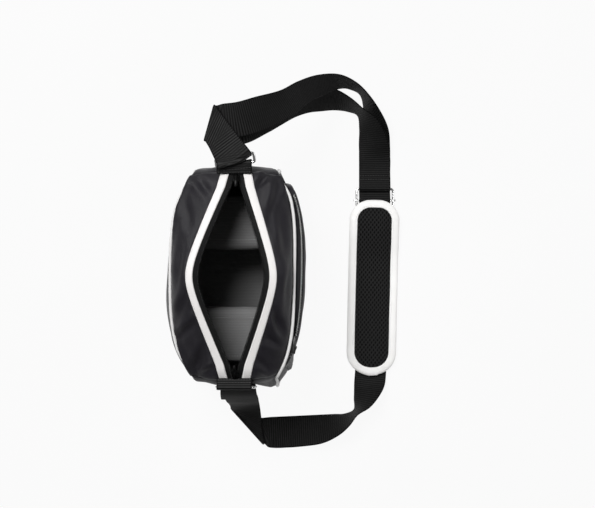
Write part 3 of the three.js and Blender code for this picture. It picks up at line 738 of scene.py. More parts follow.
def mesh_look(name, tones):
    """Spacer mesh: its holes are painted darker than its knit, as painted shade in them."""
    look = Look(name, {GLOSS: 0.08})
    along, across = look.weave()
    knit = look.waves(look.math("ADD", along, across), 0.6)
    solid = look.math("SUBTRACT", 1.0, look.marked("hole"))
    # Painted shade: the holes are painted dark, where shade falls into them.
    shade = look.math("MULTIPLY", solid, look.math("ADD", look.math("MULTIPLY", knit, 0.3), 0.7))
    return look.dress(shade, tones, solid, (0.9, 0.6), Relief(knit, 0.1, 0.5))


def metal_look(name, tones, rough):
    """Plated metal with faint clouding and fine scratches."""
    look = Look(name, {"Metallic": 1.0})
    cloud = look.noise(4, 4)
    return look.dress(cloud, tones, cloud, rough, Relief(look.noise(0.8, 3), 0.02, 0.4))


def grey(value, tint=0.0):
    return (value, value * (1 - tint / 2), value * (1 + tint))


def greys(dark, light, tint=0.0):
    return grey(dark, tint), grey(light, tint)


# Dark and light tones of the white pieces, which are slightly warm
TAPE_WHITES = ((0.66, 0.645, 0.635), (0.73, 0.71, 0.7))
PIPING_WHITES = ((0.58, 0.575, 0.57), (0.66, 0.655, 0.65))
BINDING_WHITES = ((0.74, 0.735, 0.725), (0.8, 0.795, 0.785))
SOFT_BLACK = {GLOSS: 0.26, "Sheen Weight": 0.04, "Sheen Roughness": 0.4}

BLACK_TWILL = cloth_look("black_twill", greys(0.003, 0.012, 0.25), (0.44, 0.56), 1.1, SOFT_BLACK)
WEBBING = web_look("black_webbing", greys(0.0005, 0.032))
WHITE_TAPE = tape_look("white_tape", TAPE_WHITES, (0.5, 0.62), 0.7, 0.06, 0.3)
WHITE_PIPING = tape_look("white_piping", PIPING_WHITES, (0.4, 0.55), 0.8, 0.05, 0.35)
WHITE_BINDING = grain_look("white_binding", BINDING_WHITES)
ZIP_TAPE = tape_look("zip_tape", greys(0.003, 0.007), (0.6, 0.8), 1.2, 0.15, 0.12)
ZIP_COIL = tape_look("zip_coil", greys(0.004, 0.008), (0.3, 0.45), 0.8, 0.02, 0.25)
GREY_LINING = lining_look("grey_lining", greys(0.11, 0.17))
PAD_MESH = mesh_look("pad_mesh", greys(0.0003, 0.0125))
BRIGHT_METAL = metal_look("bright_metal", greys(0.6, 0.82), (0.12, 0.26))
ZIP_METAL = metal_look("zip_metal", greys(0.3, 0.5), (0.3, 0.45))
PULLER_METAL = metal_look("puller_metal", greys(0.05, 0.1), (0.35, 0.5))
DARK_METAL = metal_look("dark_metal", greys(0.006, 0.016), (0.35, 0.5))
WHITE_THREAD = thread_look("white_thread", greys(0.7, 0.8))
BLACK_THREAD = thread_look("black_thread", greys(0.02, 0.04))
GREY_THREAD = thread_look("grey_thread", greys(0.2, 0.32))


# Bag shell

# Creases: where they are along and up or across, their direction, length, width and depth
END_FOLDS = [
    Fold(-20, 128, 62, 26, 7, 1.6),
    Fold(22, 96, -55, 30, 9, 1.4),
    Fold(4, 52, 15, 34, 8, 1.2),
]
FACE_FOLDS = {
    "front": [Fold(-96, 40, 60, 24, 7, 0.8), Fold(92, 44, -58, 26, 8, 0.8)],
    "back": [
        Fold(-78, 122, 38, 42, 10, 2.4),
        Fold(70, 112, -46, 46, 11, 2.6),
        Fold(-44, 58, 12, 52, 12, 1.8),
        Fold(52, 40, -18, 44, 10, 1.8),
        Fold(4, 138, 4, 60, 9, 1.6),
    ],
}
POCKET_FOLDS = [
    Fold(-66, 96, 42, 40, 9, 0.8),
    Fold(58, 84, -50, 42, 10, 0.9),
    Fold(-8, 46, 6, 56, 10, 1),
    Fold(20, 128, -8, 48, 8, 0.5),
]
TOP_FOLDS = {
    "front": [
        Fold(108, -31, -42, 13, 4.2, 2.6),
        Fold(90, -47, -16, 17, 5, 1.6),
        Fold(46, -57, 8, 30, 4.5, 1),
        Fold(-8, -62, -6, 26, 3.6, 1.2),
        Fold(-52, -50, 20, 17, 4.6, 3),
        Fold(-74, -43, 62, 13, 4.5, 1.8),
        Fold(-102, -34, 48, 13, 4, 1.8),
    ],
    "back": [
        Fold(104, 36, 38, 16, 5, 1.8),
        Fold(70, 53, 12, 26, 6, 1.4),
        Fold(14, 62, -8, 30, 4.6, 1.2),
        Fold(-34, 58, -24, 20, 5, 1.5),
        Fold(-62, 54, -48, 17, 4.6, 2),
        Fold(-94, 40, -20, 18, 5, 1.8),
        Fold(-108, 28, -58, 11, 3.6, 1.6),
    ],
}


def covered(name, x):
    """Where a face's seam is covered, from 0 to 1: both ends at the back, the north end at the front."""
    if name == "back":
        return smoothstep(np.abs(x - BACK_BARE_X), *BACK_COVERED)
    return smoothstep(x, *FRONT_COVERED)


def rolled(name, x, edge):
    return covered(name, x) * np.exp(-(((edge - ROLL_INSET) / ROLL_WIDTH) ** 2))


def toed(x, y, z):
    """Points of the shell, moved out or in at the base's corners."""
    low = 1 - smoothstep(z, *TOE_UP)
    moved = 0
    for toe in TOES:
        near = smoothstep(toe.end * x, *TOE_ALONG) * smoothstep(toe.side * y, *TOE_ACROSS)
        moved = moved + toe.end * toe.reach * near
    return points(x + low * moved, y, z)


def upright(run):
    """The columns of a traced line, ready for points across it."""
    return [values[:, None] for values in run]


def seam_start(arc):
    """The part of an upper corner past its middle, where the gusset meets the top."""
    return arc._replace(start=(arc.start + arc.end) / 2 + CORNER_SLIT / HIGH_CORNER)


def seam_end(arc):
    return arc._replace(end=(arc.start + arc.end) / 2 - CORNER_SLIT / HIGH_CORNER)


def make_gusset():
    """Base and ends in one strip: flat under the base, softer and rounder up the ends."""
    strip = [seam_start(HIGH_SOUTH), LOW_SOUTH, LOW_NORTH, seam_end(HIGH_NORTH)]
    x, z, nx, nz = upright(trace(strip, CLOTH_STEP))
    share = np.sin(np.linspace(-1, 1, GUSSET_COLUMNS) * math.pi / 2)[None]
    upper = smoothstep(z, 90, SEAM_HIGH - 6)
    flat = 1 - smoothstep(np.abs(share), 0.85, 1)
    front = SEAM_CLEAR - seam_half_width(FACES["front"], x, z)
    back = seam_half_width(FACES["back"], x, z) - SEAM_CLEAR
    width = (back - front) / 2
    y = lerp(front, back, (share + 1) / 2)
    ends = smoothstep(z, 16, 60) * (1 - share ** 4)
    way = np.where(x > 0, 1, -1)
    dents = creases(y * way, z, END_FOLDS) + waved("end_dents", y + 9 * way, z)
    puckers = waved("end_puckers", x + y, z * 1.4) * np.exp(-(1 - np.abs(share)) * width / 5)
    out = lerp(BASE_DROP, TOP_CROWN, upper) * lerp(flat, 1 - share ** 2, upper)
    out = out + ends * dents + smoothstep(z, 16, 40) * puckers * (1 - share ** 12)
    for name, face in FACES.items():
        edge = (1 - face.side * share) * width
        roll = rolled(name, x, edge) * smoothstep(z, *ROLL_UP)
        out = out + roll * ROLL_OUT
        y = y + roll * face.side * ROLL_ASIDE
    outer = toed(x + nx * out, y, z + nz * out)
    inner = toed(x + nx * (out - WALL), y, z + nz * (out - WALL))
    make("gusset_cloth", sheet(outer, inner), BLACK_TWILL, ["base_gusset"])


def panel_grid(arcs, inset, columns):
    """X, Z and distance from the edge over a rounded panel."""
    levels, half = panel_rows(arcs, inset, CLOTH_STEP)
    share = np.linspace(-1, 1, columns)[None]
    x = half[:, None] * share
    z = np.broadcast_to(levels[:, None], x.shape)
    edge = np.minimum((1 - np.abs(share)) * half[:, None], np.minimum(z - levels[0], levels[-1] - z))
    return x, z, edge


def make_face(name, face):
    side = face.side
    x, z, edge = panel_grid(BODY_ARCS, SEAM_CLEAR, FACE_COLUMNS)
    calm = 1 - np.exp(-edge / 9)
    out = face_out(face, x, z) + calm * FACE_SWAY[name] * waved("face_sway", x, z, side)
    out = out + calm * creases(x, z, FACE_FOLDS[name])
    out = out + waved("face_puckers", x, z, side) * np.exp(-edge / 6) * (1 - np.exp(-edge / 1.5))
    solid = sheet(toed(x, side * out, z), toed(x, side * (out - WALL), z))
    make(f"{name}_cloth", solid, BLACK_TWILL, [f"{name}_panel"])


def make_cord(name, face):
    """Piping round a face, sunk where the cloth rolls over it."""
    x, z, nx, nz = upright(trace(BODY_ARCS, FINE_STEP, True))
    turn = full_turn(12)[None]
    uneven = 1 + waved("cord", x, z, face.side)
    aside = CORD_RADIUS * uneven * np.sin(turn)
    sunk = CORD_SUNK * covered(name, x) * smoothstep(np.abs(x), *SUNK_ALONG) * smoothstep(z, *ROLL_UP)
    reach = CORD_RADIUS * uneven * np.cos(turn) - 0.6 * sunk
    y = face.side * (seam_half_width(face, x, z) + aside - sunk)
    loops = toed(x + nx * reach, y, np.maximum(0.05, z + nz * reach))
    make(f"{name}_cord", loft(loops, True), WHITE_PIPING, [f"{name}_piping"])


def make_faces():
    for name, face in FACES.items():
        make_face(name, face)
        make_cord(name, face)


def mouth_share(x):
    """0 where the zip is closed, 1 where the mouth is widest."""
    reach = np.minimum(1, np.abs(x) / MOUTH_HALF)
    end = math.hypot(1, MOUTH_ROUNDING)
    return (end - np.hypot(reach, MOUTH_ROUNDING)) / (end - MOUTH_ROUNDING)


def mouth_drift(x):
    """Middle of the mouth, off the bag's middle plane."""
    closed = lerp(SOUTH_DRIFT, NORTH_DRIFT, np.clip(0.5 + x / MOUTH_HALF / 2, 0, 1))
    return lerp(closed, OPEN_DRIFT, mouth_share(x))


def pair(width, height):
    return np.stack(np.broadcast_arrays(width, height), -1)[:, None].astype(float)


def top_section(face, x, z):
    """Section of one half of the top as widths and heights: panel curve, and the trim's and zip's edges."""
    share = mouth_share(x)
    seam = pair(seam_half_width(face, x, z) - SEAM_CLEAR, 0)
    lip = pair(lerp(*LIP_WIDTH, share) + face.side * mouth_drift(x), lerp(*LIP_RISE, share))
    climb = seam + pair(lerp(*CLIMB_WIDTH, share), lerp(*CLIMB_RISE, share))
    ease = lip + pair(lerp(*LIP_EASE, share), -0.3)
    t = np.linspace(0, 1, TOP_COLUMNS)[None, :, None]
    panel = (1 - t) ** 3 * seam + 3 * (1 - t) ** 2 * t * climb + 3 * (1 - t) * t ** 2 * ease + t ** 3 * lip
    trim_start = lip + [-0.1, 0.3]
    trim_end = trim_start + pair(-lerp(*TRIM_WIDTH, share), TRIM_RISE)
    sink = lerp(*ZIP_SINK, share)
    zip_start = trim_end + pair(1.2, -0.8 - sink)
    zip_end = trim_end + pair(0.8 - ZIP_WIDTH, -0.3 - sink - ZIP_DROP * share)
    return panel, (trim_start, trim_end), (zip_start, zip_end)


def on_top(run, side, section):
    x, z, nx, nz = upright(run)
    return points(x + nx * section[..., 1], side * section[..., 0], z + nz * section[..., 1])


def tape_on_top(run, side, edges, share, rise, depth):
    """A tape between two edges, with its rise over their straight line and its depth under it."""
    middle = lerp(*edges, share[None, :, None])
    upper = middle + np.stack([0 * rise, rise], -1)
    lower = middle - np.stack([0 * depth, depth], -1)
    return sheet(on_top(run, side, upper), on_top(run, side, lower))


def make_top_cloth(name, side, run, panel):
    outer = on_top(run, side, panel)
    normal = grid_normals(outer, BAG_MIDDLE)
    share = np.linspace(0, 1, TOP_COLUMNS)[None]
    edge = np.minimum(share, 1 - share) * TOP_SPREAD
    calm = 1 - np.exp(-edge / 5)
    a, b = outer[..., 0], outer[..., 1]
    dents = TOP_FOLD_DEPTH * creases(a, b, TOP_FOLDS[name]) + waved("top_dents", a, b, side)
    puckers = waved("top_puckers", a, b * 0.4, side) * np.exp(-edge / 5)
    outer = outer + normal * (calm * (dents + puckers))[..., None]
    roll = rolled(name, a, share * TOP_SPREAD)[..., None]
    outer = outer + roll * (normal * ROLL_OUT + [0, side * ROLL_ASIDE, 0])
    solid = sheet(outer, outer - normal * WALL)
    column = np.arange(len(solid[1])) % (2 * TOP_COLUMNS)
    under = (column >= TOP_COLUMNS) & (column < 2 * TOP_COLUMNS - 1)
    make(f"top_cloth_{name}", solid, BLACK_TWILL, [f"top_panel_{name}"], GREY_LINING, under)


def make_trim(name, side, run, edges):
    """White tape beside the zip; returns its stitches."""
    share = np.linspace(0, 1, 13)
    arch = 0.5 * np.sin(math.pi * share) ** 0.5 + waved("trim", run[0][:, None], 3 * share[None], side)
    rim = 0.35 * (np.abs(2 * share - 1) > 0.99)
    solid = tape_on_top(run, side, edges, share, arch - rim, TRIM_THICK - rim)
    make(f"trim_tape_{name}", solid, WHITE_TAPE, [f"zip_trim_{name}"])
    seams = [lerp(*edges, share) + [0, 0.42] for share in (0.14, 0.86)]
    return [stitch for seam in seams for stitch in stitch_row(on_top(run, side, seam)[2:-2, 0])]


def make_zip_side(name, side, run, edges):
    share = np.linspace(0, 1, 9)
    ribs = 0.08 * np.cos(share * 8 * math.pi)
    solid = tape_on_top(run, side, edges, share, 0.4 + ribs, 0.4 + 0 * ribs)
    make(f"zip_tape_{name}", solid, ZIP_TAPE, [f"zip_side_{name}"])
    line = evenly(on_top(run, side, edges[1])[:, 0], COIL_PITCH / 10)
    along = unit(np.gradient(line, axis=0))
    aside = unit(np.cross(along, [0, 0, 1]))
    rise = np.cross(aside, along)
    turn = (running_length(line) / COIL_PITCH * 2 * math.pi)[:, None]
    helix = line + COIL_RADIUS * (np.cos(turn) * aside * 1.25 + np.sin(turn) * rise)
    make(f"zip_coil_{name}", tube(helix, COIL_WIRE, 6), ZIP_COIL)


def make_top():
    run = trace([seam_start(HIGH_NORTH), seam_end(HIGH_SOUTH)], FINE_STEP)
    threads = []
    for name, face in FACES.items():
        panel, trim_edges, zip_edges = top_section(face, *run[:2])
        make_top_cloth(name, face.side, run, panel)
        threads += make_trim(name, face.side, run, trim_edges)
        make_zip_side(name, face.side, run, zip_edges)
    make("trim_stitches", joined(threads), WHITE_THREAD)


# Small hard pieces

def block(outline, low, high, rounding=0.35):
    """A plate from a closed outline in X and Y, its edges rounded."""
    outline = np.asarray(outline, float)
    middle = outline.mean(0)
    levels = [(low, 1), (low + rounding, 0), (high - rounding, 0), (high, 1)]
    loops = []
    for z, drawn in levels:
        inward = unit(middle - outline) * rounding * drawn
        loops.append(np.concatenate([outline + inward, np.full((len(outline), 1), z)], 1))
    return loft(np.stack(loops))


def oblong(x0, x1, half, count=8):
    """Outline of a bar with round ends."""
    turn = np.linspace(-math.pi / 2, math.pi / 2, count)
    nose = np.stack([x1 + half * np.cos(turn), half * np.sin(turn)], -1)
    tail = np.stack([x0 - half * np.cos(turn), -half * np.sin(turn)], -1)
    return np.concatenate([nose, tail])


def turned(solid, place, about_y=0.0, about_z=0.0):
    """A solid turned about Z, then about Y, and moved to its place."""
    vertices, faces, uvs = solid
    cz, sz = math.cos(about_z), math.sin(about_z)
    cy, sy = math.cos(about_y), math.sin(about_y)
    spin = np.array([[cz, -sz, 0], [sz, cz, 0], [0, 0, 1]])
    lean = np.array([[cy, 0, sy], [0, 1, 0], [-sy, 0, cy]])
    return vertices @ (lean @ spin).T + np.asarray(place, float), faces, uvs


def slider_solid(puller):
    """A zip slider with its nose towards +X: two plates, side rails, a bridge and a puller."""
    plate = [(-5, -2.6), (-1, -3), (3, -4.2), (5, -2.6), (5, 2.6), (3, 4.2), (-1, 3), (-5, 2.6)]
    solids = [block(plate, -0.5, 0.6), block(plate, 2, 3)]
    solids.append(block(oblong(-4, 0, 1), 0.6, 2))
    bridge = [(-4.2, 0, 3), (-3.6, 0, 4.3), (-1, 0, 4.9), (2, 0, 4.6), (3.6, 0, 3)]
    solids.append(tube(smooth_line(bridge, [5] * 4), 0.55, 8))
    solids.append(turned(block(oblong(0, puller, 1.9), -0.45, 0.45, 0.3), (0.5, 0, 3.85), 0.06))
    return joined(solids)


def make_zip_sliders():
    reach = HIGH_CORNER + LIP_RISE[0] + TRIM_RISE + SLIDER_RISE
    lean = math.radians(SLIDER_LEAN)
    for name, side in (("north", 1), ("south", -1)):
        x = side * (HIGH_NORTH.centre[0] + reach * math.sin(lean))
        place = (x, mouth_drift(x), HIGH_NORTH.centre[1] + reach * math.cos(lean))
        solid = turned(slider_solid(PULLER_LENGTH), place, side * lean, math.pi if side > 0 else 0)
        make(f"slider_{name}", solid, DARK_METAL, [f"zip_slider_{name}"])


# Front pocket

def pocket_back(x, z):
    return face_out(FACES["front"], x, z) + 2 * GAP


def pocket_depth(x):
    reach = np.abs(x - POCKET_FULLEST_X) / (POCKET_BASE_HALF - POCKET_FULLEST_X)
    return lerp(POCKET_DEPTH, POCKET_END_DEPTH, np.minimum(1, reach) ** 2)


def pocket_out(x, z):
    """Distance of the pocket's panel from the middle plane."""
    middle = (POCKET_LOW + POCKET_HIGH) / 2
    up = 1 - np.minimum(1, np.abs(z - middle) / (POCKET_HIGH - middle)) ** 2
    along = 1 - np.minimum(1, np.abs(x) / POCKET_BASE_HALF) ** 2
    return pocket_back(x, z) + pocket_depth(x) + GAP + POCKET_WALL + POCKET_BOW * up * along


def make_pocket_cloth():
    """The pocket's side and panel, with the stitches beside the panel's edge."""
    x, z, nx, nz = upright(trace(POCKET_ARCS, 2.5, True))
    share = np.linspace(0, 1, 7)[None]
    bulge = 0.5 * np.sin(math.pi * share) + waved("pocket_side", x + z, share * 8)
    y = -pocket_back(x, z) + 0.6 - share * (pocket_depth(x) + 0.5)
    outer = toed(x + nx * bulge, y, z + nz * bulge)
    inner = toed(x - nx * (POCKET_WALL - bulge), y, z - nz * (POCKET_WALL - bulge))
    solid = loft(shell(outer, inner), True)
    make("pocket_side_cloth", solid, BLACK_TWILL, ["pocket_gusset"])

    x, z, edge = panel_grid(POCKET_ARCS, 0.2, POCKET_COLUMNS)
    calm = 1 - np.exp(-edge / 9)
    out = pocket_out(x, z) + calm * (waved("pocket_sway", x, z) + creases(x, z, POCKET_FOLDS))
    seam = 0.5 * np.exp(-(((edge - POCKET_SEAM) / 1.4) ** 2))
    out = out - 1.1 * np.exp(-edge / 1.6) - seam + waved("pocket_puckers", x, z) * np.exp(-edge / 6)
    solid = sheet(toed(x, -out, z), toed(x, POCKET_WALL - out, z))
    make("pocket_cloth", solid, BLACK_TWILL, ["pocket_panel"])

    inset = [arc._replace(radius=arc.radius - POCKET_SEAM) for arc in POCKET_ARCS]
    x, z, _, _ = trace(inset, FINE_STEP, True)
    threads = stitch_row(toed(x, 0.35 - pocket_out(x, z), z))
    make("pocket_stitches", joined(threads), BLACK_THREAD)


def make_pocket_zip():
    x = np.linspace(POCKET_ZIP_HALF, -POCKET_ZIP_HALF, POCKET_TEETH)
    z = np.full_like(x, POCKET_HIGH)
    y = -pocket_back(x, z) - pocket_depth(x) * POCKET_ZIP_SHARE
    aside = np.array([-1.9, -1, 0, 1, 1.9])
    upper = points(x[:, None], y[:, None] + aside, z[:, None] + 0.95)
    lower = points(x[:, None], y[:, None] + aside, z[:, None] + 0.15)
    make("pocket_zip_tape", sheet(upper, lower), ZIP_TAPE)
    teeth = []
    for i, place in enumerate(points(x, y, z + 0.95)):
        outline = oblong(-0.5, 0.5, 0.5, 4)[:, ::-1] + [0, 0.35 if i % 2 else -0.35]
        teeth.append(turned(block(outline, 0, 0.9, 0.2), place))
    make("pocket_teeth", joined(teeth), ZIP_METAL, ["pocket_zip"])

    low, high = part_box("pocket_slider")
    place = ((low.x + high.x) / 2 / MM - 5, (low.y + high.y) / 2 / MM, low.z / MM + 0.1)
    vertices, faces, uvs = turned(slider_solid(POCKET_PULLER_LENGTH), place, 0, -0.12)
    vertices[:, 2] = lerp(place[2], vertices[:, 2], POCKET_PULLER_FLAT)
    make("pocket_puller", (vertices, faces, uvs), PULLER_METAL, ["pocket_slider"])


# Inside

def rounded_half_length(z):
    low, high = LOW_NORTH.centre, HIGH_NORTH.centre
    near_low = low[0] + np.sqrt(np.maximum(0, LOW_CORNER ** 2 - (low[1] - z) ** 2))
    near_high = high[0] + np.sqrt(np.maximum(0, HIGH_CORNER ** 2 - (z - high[1]) ** 2))
    return np.where(z < low[1], near_low, np.where(z > high[1], near_high, half_length(z)))


def make_lining():
    z = LINING_LEVELS[:, None]
    share = np.sin(np.linspace(-1, 1, 61) * math.pi / 2)[None]

    def loops(clear):
        x = share * (rounded_half_length(z - 2) - clear)
        soft = (1 - share ** 6) * smoothstep(z, 8, 30) * waved("lining", x, z)
        front = points(x, -(face_out(FACES["front"], x, z) - clear + soft), z)
        rear = points(x, face_out(FACES["back"], x, z) - clear + soft, z)
        return shell(front, rear)

    outer = loops(LINING_CLEAR)
    inner = loops(LINING_CLEAR + LINING_THICK)
    inner[0, :, 2] = LINING_LEVELS[0] + LINING_THICK
    make("lining_cloth", loft(np.concatenate([outer, inner[::-1]])), GREY_LINING, ["lining"])


def divider_sides():
    """Two sides of a padded wall from X 0 with a flap towards +X, laid off its middle line."""
    wall_x = DIVIDER_THICK / 2
    flap_z = DIVIDER_HEIGHT - FLAP_THICK / 2
    knots = [
        (wall_x, 0, DIVIDER_LOW),
        (wall_x, 0, 40),
        (wall_x, 0, 80),
        (wall_x + 0.4, 0, DIVIDER_HEIGHT - 8.5),
        (wall_x + 4.6, 0, flap_z - 0.9),
        (18, 0, flap_z - 0.9),
        (40, 0, flap_z - FLAP_DROP * 0.6),
        (FLAP_LENGTH, 0, flap_z - FLAP_DROP),
    ]
    line = evenly(smooth_line(knots, [12] * 7), 2.2)
    along = unit(np.gradient(line, axis=0))
    normal = np.cross(along, [0, 1, 0])
    half = lerp(DIVIDER_THICK, FLAP_THICK, smoothstep(line[:, 0], 4, 16)) / 2
    length = running_length(line)
    half = half * np.sqrt(np.clip(np.minimum(length, length[-1] - length) / 3, 0.04, 1))
    share = np.sin(np.linspace(-1, 1, DIVIDER_COLUMNS) * math.pi / 2)
    y = DIVIDER_HALF_WIDTH * share
    puff = np.sqrt(np.clip((1 - np.abs(share)) * DIVIDER_HALF_WIDTH / 2.5, 0.03, 1))
    width = half[:, None] * puff[None]
    x, z = line[:, :1], line[:, 2:]
    swell = 1 + waved("divider", z + x, y[None])
    arch = -DIVIDER_ARCH * (1 - share[None] ** 2) * smoothstep(z, 70, 100) * smoothstep(-x, -40, -4)
    middle = line[:, None] + points(arch, y[None], 0 * arch)
    reach = normal[:, None] * (width * swell)[..., None]
    return middle + reach, middle - reach


def make_dividers():
    upper, lower = divider_sides()
    solid = sheet(upper, lower)
    top = upper if upper[-1, 0, 2] > lower[-1, 0, 2] else lower
    flap = top[top[:, DIVIDER_COLUMNS // 2, 2] > DIVIDER_HEIGHT - 5]
    lines = flap[[3, -3], 2:-2] + [0, 0, 0.1]
    for name, x, way in (("north", NORTH_DIVIDER_X, 1), ("south", SOUTH_DIVIDER_X, -1)):
        spin = 0 if way > 0 else math.pi
        pad = make(f"divider_pad_{name}", turned(solid, (x, 0, 0), 0, spin), GREY_LINING,
                   [f"divider_{name}"])
        threads = joined([stitch for line in lines for stitch in stitch_row(line)])
        make(f"divider_stitches_{name}", turned(threads, (x, 0, 0), 0, spin), GREY_THREAD)


# Strap

def row(x, y, z, azimuth, tilt=0, span=WEB_WIDTH):
    """One row of webbing: its left and right edge."""
    aside, rise = math.radians(azimuth), math.radians(tilt)
    level = math.cos(rise)
    half = np.array([level * math.cos(aside), level * math.sin(aside), math.sin(rise)]) * span / 2
    middle = np.array([x, y, z], float)
    return np.stack([middle + half, middle - half])


def rows(table):
    return [row(*columns) for columns in table]


Bar = namedtuple("Bar", "x y z azimuth tilt span", defaults=(0, WEB_WIDTH))


def turn_row(bar, radius, degrees, press=0):
    """A row on a turn round a level bar, at one angle; a pressed turn is sharper."""
    ahead = math.radians(bar.azimuth - 90)
    out = radius * lerp(math.cos(math.radians(degrees)), 1, press)
    rise = radius * math.sin(math.radians(degrees))
    return row(bar.x + out * math.cos(ahead), bar.y + out * math.sin(ahead), bar.z + rise,
               bar.azimuth, bar.tilt, bar.span)


def turn_rows(bar, radius, start, end, press=0):
    steps = max(3, math.ceil(abs(end - start) / 45))
    return [turn_row(bar, radius, lerp(start, end, i / steps), press) for i in range(steps + 1)]


# Bars that the strap turns round, and its two folds, the north one pressed sharper
SOUTH_BAR = Bar(-BAR_X - 0.6, -4, BAR_Z - RING_PITCH, 90)
NORTH_BAR = Bar(BAR_X + 9.8, -0.1, BAR_Z + 4.6, 99.4, -3.4)
SEWN_BAR = Bar(BUCKLE_NORTH_X, STRAP_Y, BUCKLE_Z, 90)
NORTH_FOLD = Bar(172, 24, 186, 164.5, 0, 42.2)
NORTH_PRESS = 0.7
INNER_FOLD = 2
OUTER_FOLD = INNER_FOLD + WEB_THICK + 0.7
SOUTH_FOLD = Bar(-195.4, -8.5, 3.5, 42, 0, 63)
SOUTH_FOLD_RADIUS = 2.2

# Turn round the north ring, slack at its left edge; columns: angle, slack
RING_TURN = [
    (260, 0),
    (215, 0),
    (175, 3.4),
    (140, 5),
    (90, 1),
]

# Columns: x, y, z, azimuth, tilt, span
SOUTH_TAIL = [
    (-145.9, -2, 131, 90),
    (-138.2, -2.6, 152, 90),
    (-132.2, -3.2, 161.2, 90),
]
SOUTH_DROP = [
    (-135.6, -4.5, 152, 90),
    (-143.4, -5.5, 131, 90),
    (-153, -6, 98, 90, 0, 39),
    (-160, -5.9, 62, 90, 0, 38),
    (-167, -5.7, 32, 89, 0, 37.5),
    (-175.5, -5.8, 12.5, 79.4, 0, 39.3),
    (-186, -6.7, 6.4, 58.4, 0, 47.7),
]
SOUTH_FLOOR = [
    (-204.6, -26.2, 1.3, 21.7, 0, 41),
    (-204.9, -40.4, 1.4, 3, -1),
    (-203.8, -58.5, 4.2, 3, -9),
    (-202.3, -75.2, 7.3, 5, -18),
    (-198.9, -101, 11.7, 10, -32),
    (-192, -122.3, 17.6, 17, -56),
    (-185.5, -135.2, 20.3, 30, -74),
    (-176.5, -145.8, 21, 50, -85),
    (-165, -153.7, 18.6, 68, -61),
    (-153.5, -159.7, 14.2, 78, -41),
    (-141.4, -164.2, 7, 84, -16),
    (-130, -165.8, 3, 87, -5),
    (-117, -166.5, 1.1, 88.7),
    (-98, -166.9, 1, 88.7),
    (-18, -168.6, 1, 88.7),
    (50, -170.1, 1, 88.7),
    (74, -170.7, 1.1, 89),
]
BUCKLE_PASS = [
    (BUCKLE_SOUTH_X, STRAP_Y + 0.4, 1.9, 90),
    (SLIDE_BAR_X, STRAP_Y, 4.7, 90),
    (BUCKLE_NORTH_X - 3, STRAP_Y, 1.5, 90),
    (118, STRAP_Y, 0.9, 90),
]
NORTH_OUTER = [
    (140, STRAP_Y, 0.9, 90),
    (160, -171.3, 2.2, 91, -3),
    (183.8, -170, 11.2, 96, -30),
    (208.5, -164.6, 19.4, 110, -66),
    (229.5, -155, 21.4, 135, -84),
    (237, -138.5, 46, 167, -80),
    (236, -120.5, 76, 190, -70),
    (228.5, -99.2, 98, 204, -58),
    (216.7, -78.5, 122, 212, -52),
    (201.4, -59.7, 144, 212, -42),
    (187, -31.3, 166, 201, -18),
    (178, -6.7, 179, 192, -4),
    (174.6, 16.7, 183.2, 172, 0, 41),
]
NORTH_INNER = [
    (174.2, 16.7, 180.4, 172, 0, 41),
    (170, -5, 173, 188, -6),
    (184, -30.9, 151, 198, -18),
    (194.5, -46.5, 131, 203, -28),
    (205, -63.1, 108, 202, -36),
    (212.5, -81.1, 84, 196, -43),
    (217, -99.9, 58, 188, -48),
    (218.9, -121.7, 33, 176, -58),
    (213.4, -138.4, 25, 156, -72),
    (205.5, -151.4, 23, 132, -80),
    (190.8, -161.9, 20.2, 114, -55),
    (168.6, -168.8, 13.6, 98, -25),
    (148, -171.3, 5.4, 90),
    (130, STRAP_Y, 3.6, 90),
    (118, STRAP_Y, 7, 90),
]
SEWN_END = (118, STRAP_Y, 3.1, 90)


def make_webbing(name, laid, replaced, hang=None, painted_sheen=0):
    """Webbing through its rows, with ribs across it; hang moves it, and its start is painted paler so far, as
    painted sheen.
    """
    laid = np.stack(laid)
    spans = np.linalg.norm(np.diff(laid.mean(1), axis=0), axis=-1)
    counts = [max(2, math.ceil(span / WEB_STEP)) for span in spans]
    left = smooth_line(laid[:, 0], counts)
    right = smooth_line(laid[:, 1], counts)
    across = left - right
    lift_left = unit(np.cross(np.gradient(left, axis=0), across))
    lift_right = unit(np.cross(np.gradient(right, axis=0), across))
    share = np.array([-1, -0.97, -0.9, -0.6, -0.3, 0, 0.3, 0.6, 0.9, 0.97, 1])
    rim = np.array([0.45, 0.85, 1, 1, 1, 1, 1, 1, 1, 0.85, 0.45])
    ribbed = np.array([0, 0.5, 1, 1, 1, 1, 1, 1, 1, 0.5, 0])
    side = ((share + 1) / 2)[None, :, None]
    middle = lerp(right[:, None], left[:, None], side)
    if hang:
        middle = middle + hang(middle, share[None])
    lift = unit(lerp(lift_right[:, None], lift_left[:, None], side))
    spine = (left + right) / 2
    ahead = unit(np.gradient(spine, axis=0))
    length = running_length(spine)[:, None] + ((middle - spine[:, None]) * ahead[:, None]).sum(-1)
    ribs = np.abs(np.sin(length / RIB_PITCH * math.pi)) * ribbed[None]
    thick = (WEB_THICK / 2 - RIB_HEIGHT) * rim[None] + RIB_HEIGHT * ribs
    upper = middle + lift * thick[..., None]
    lower = middle - lift * thick[..., None]
    piece = make(name, sheet(upper, lower), WEBBING, [replaced])
    # Painted sheen: the first stretch of the webbing is marked to be painted paler, standing in for the light
    # it catches.
    tone_and_painted_sheen = 1 - smoothstep(length - painted_sheen, *PAINTED_SHEEN_FADE)
    # The rib mark also paints shade between the ribs.
    for mark_name, values in (("rib", ribs), ("painted_sheen", tone_and_painted_sheen)):
        mark(piece, mark_name, shell(values, values))


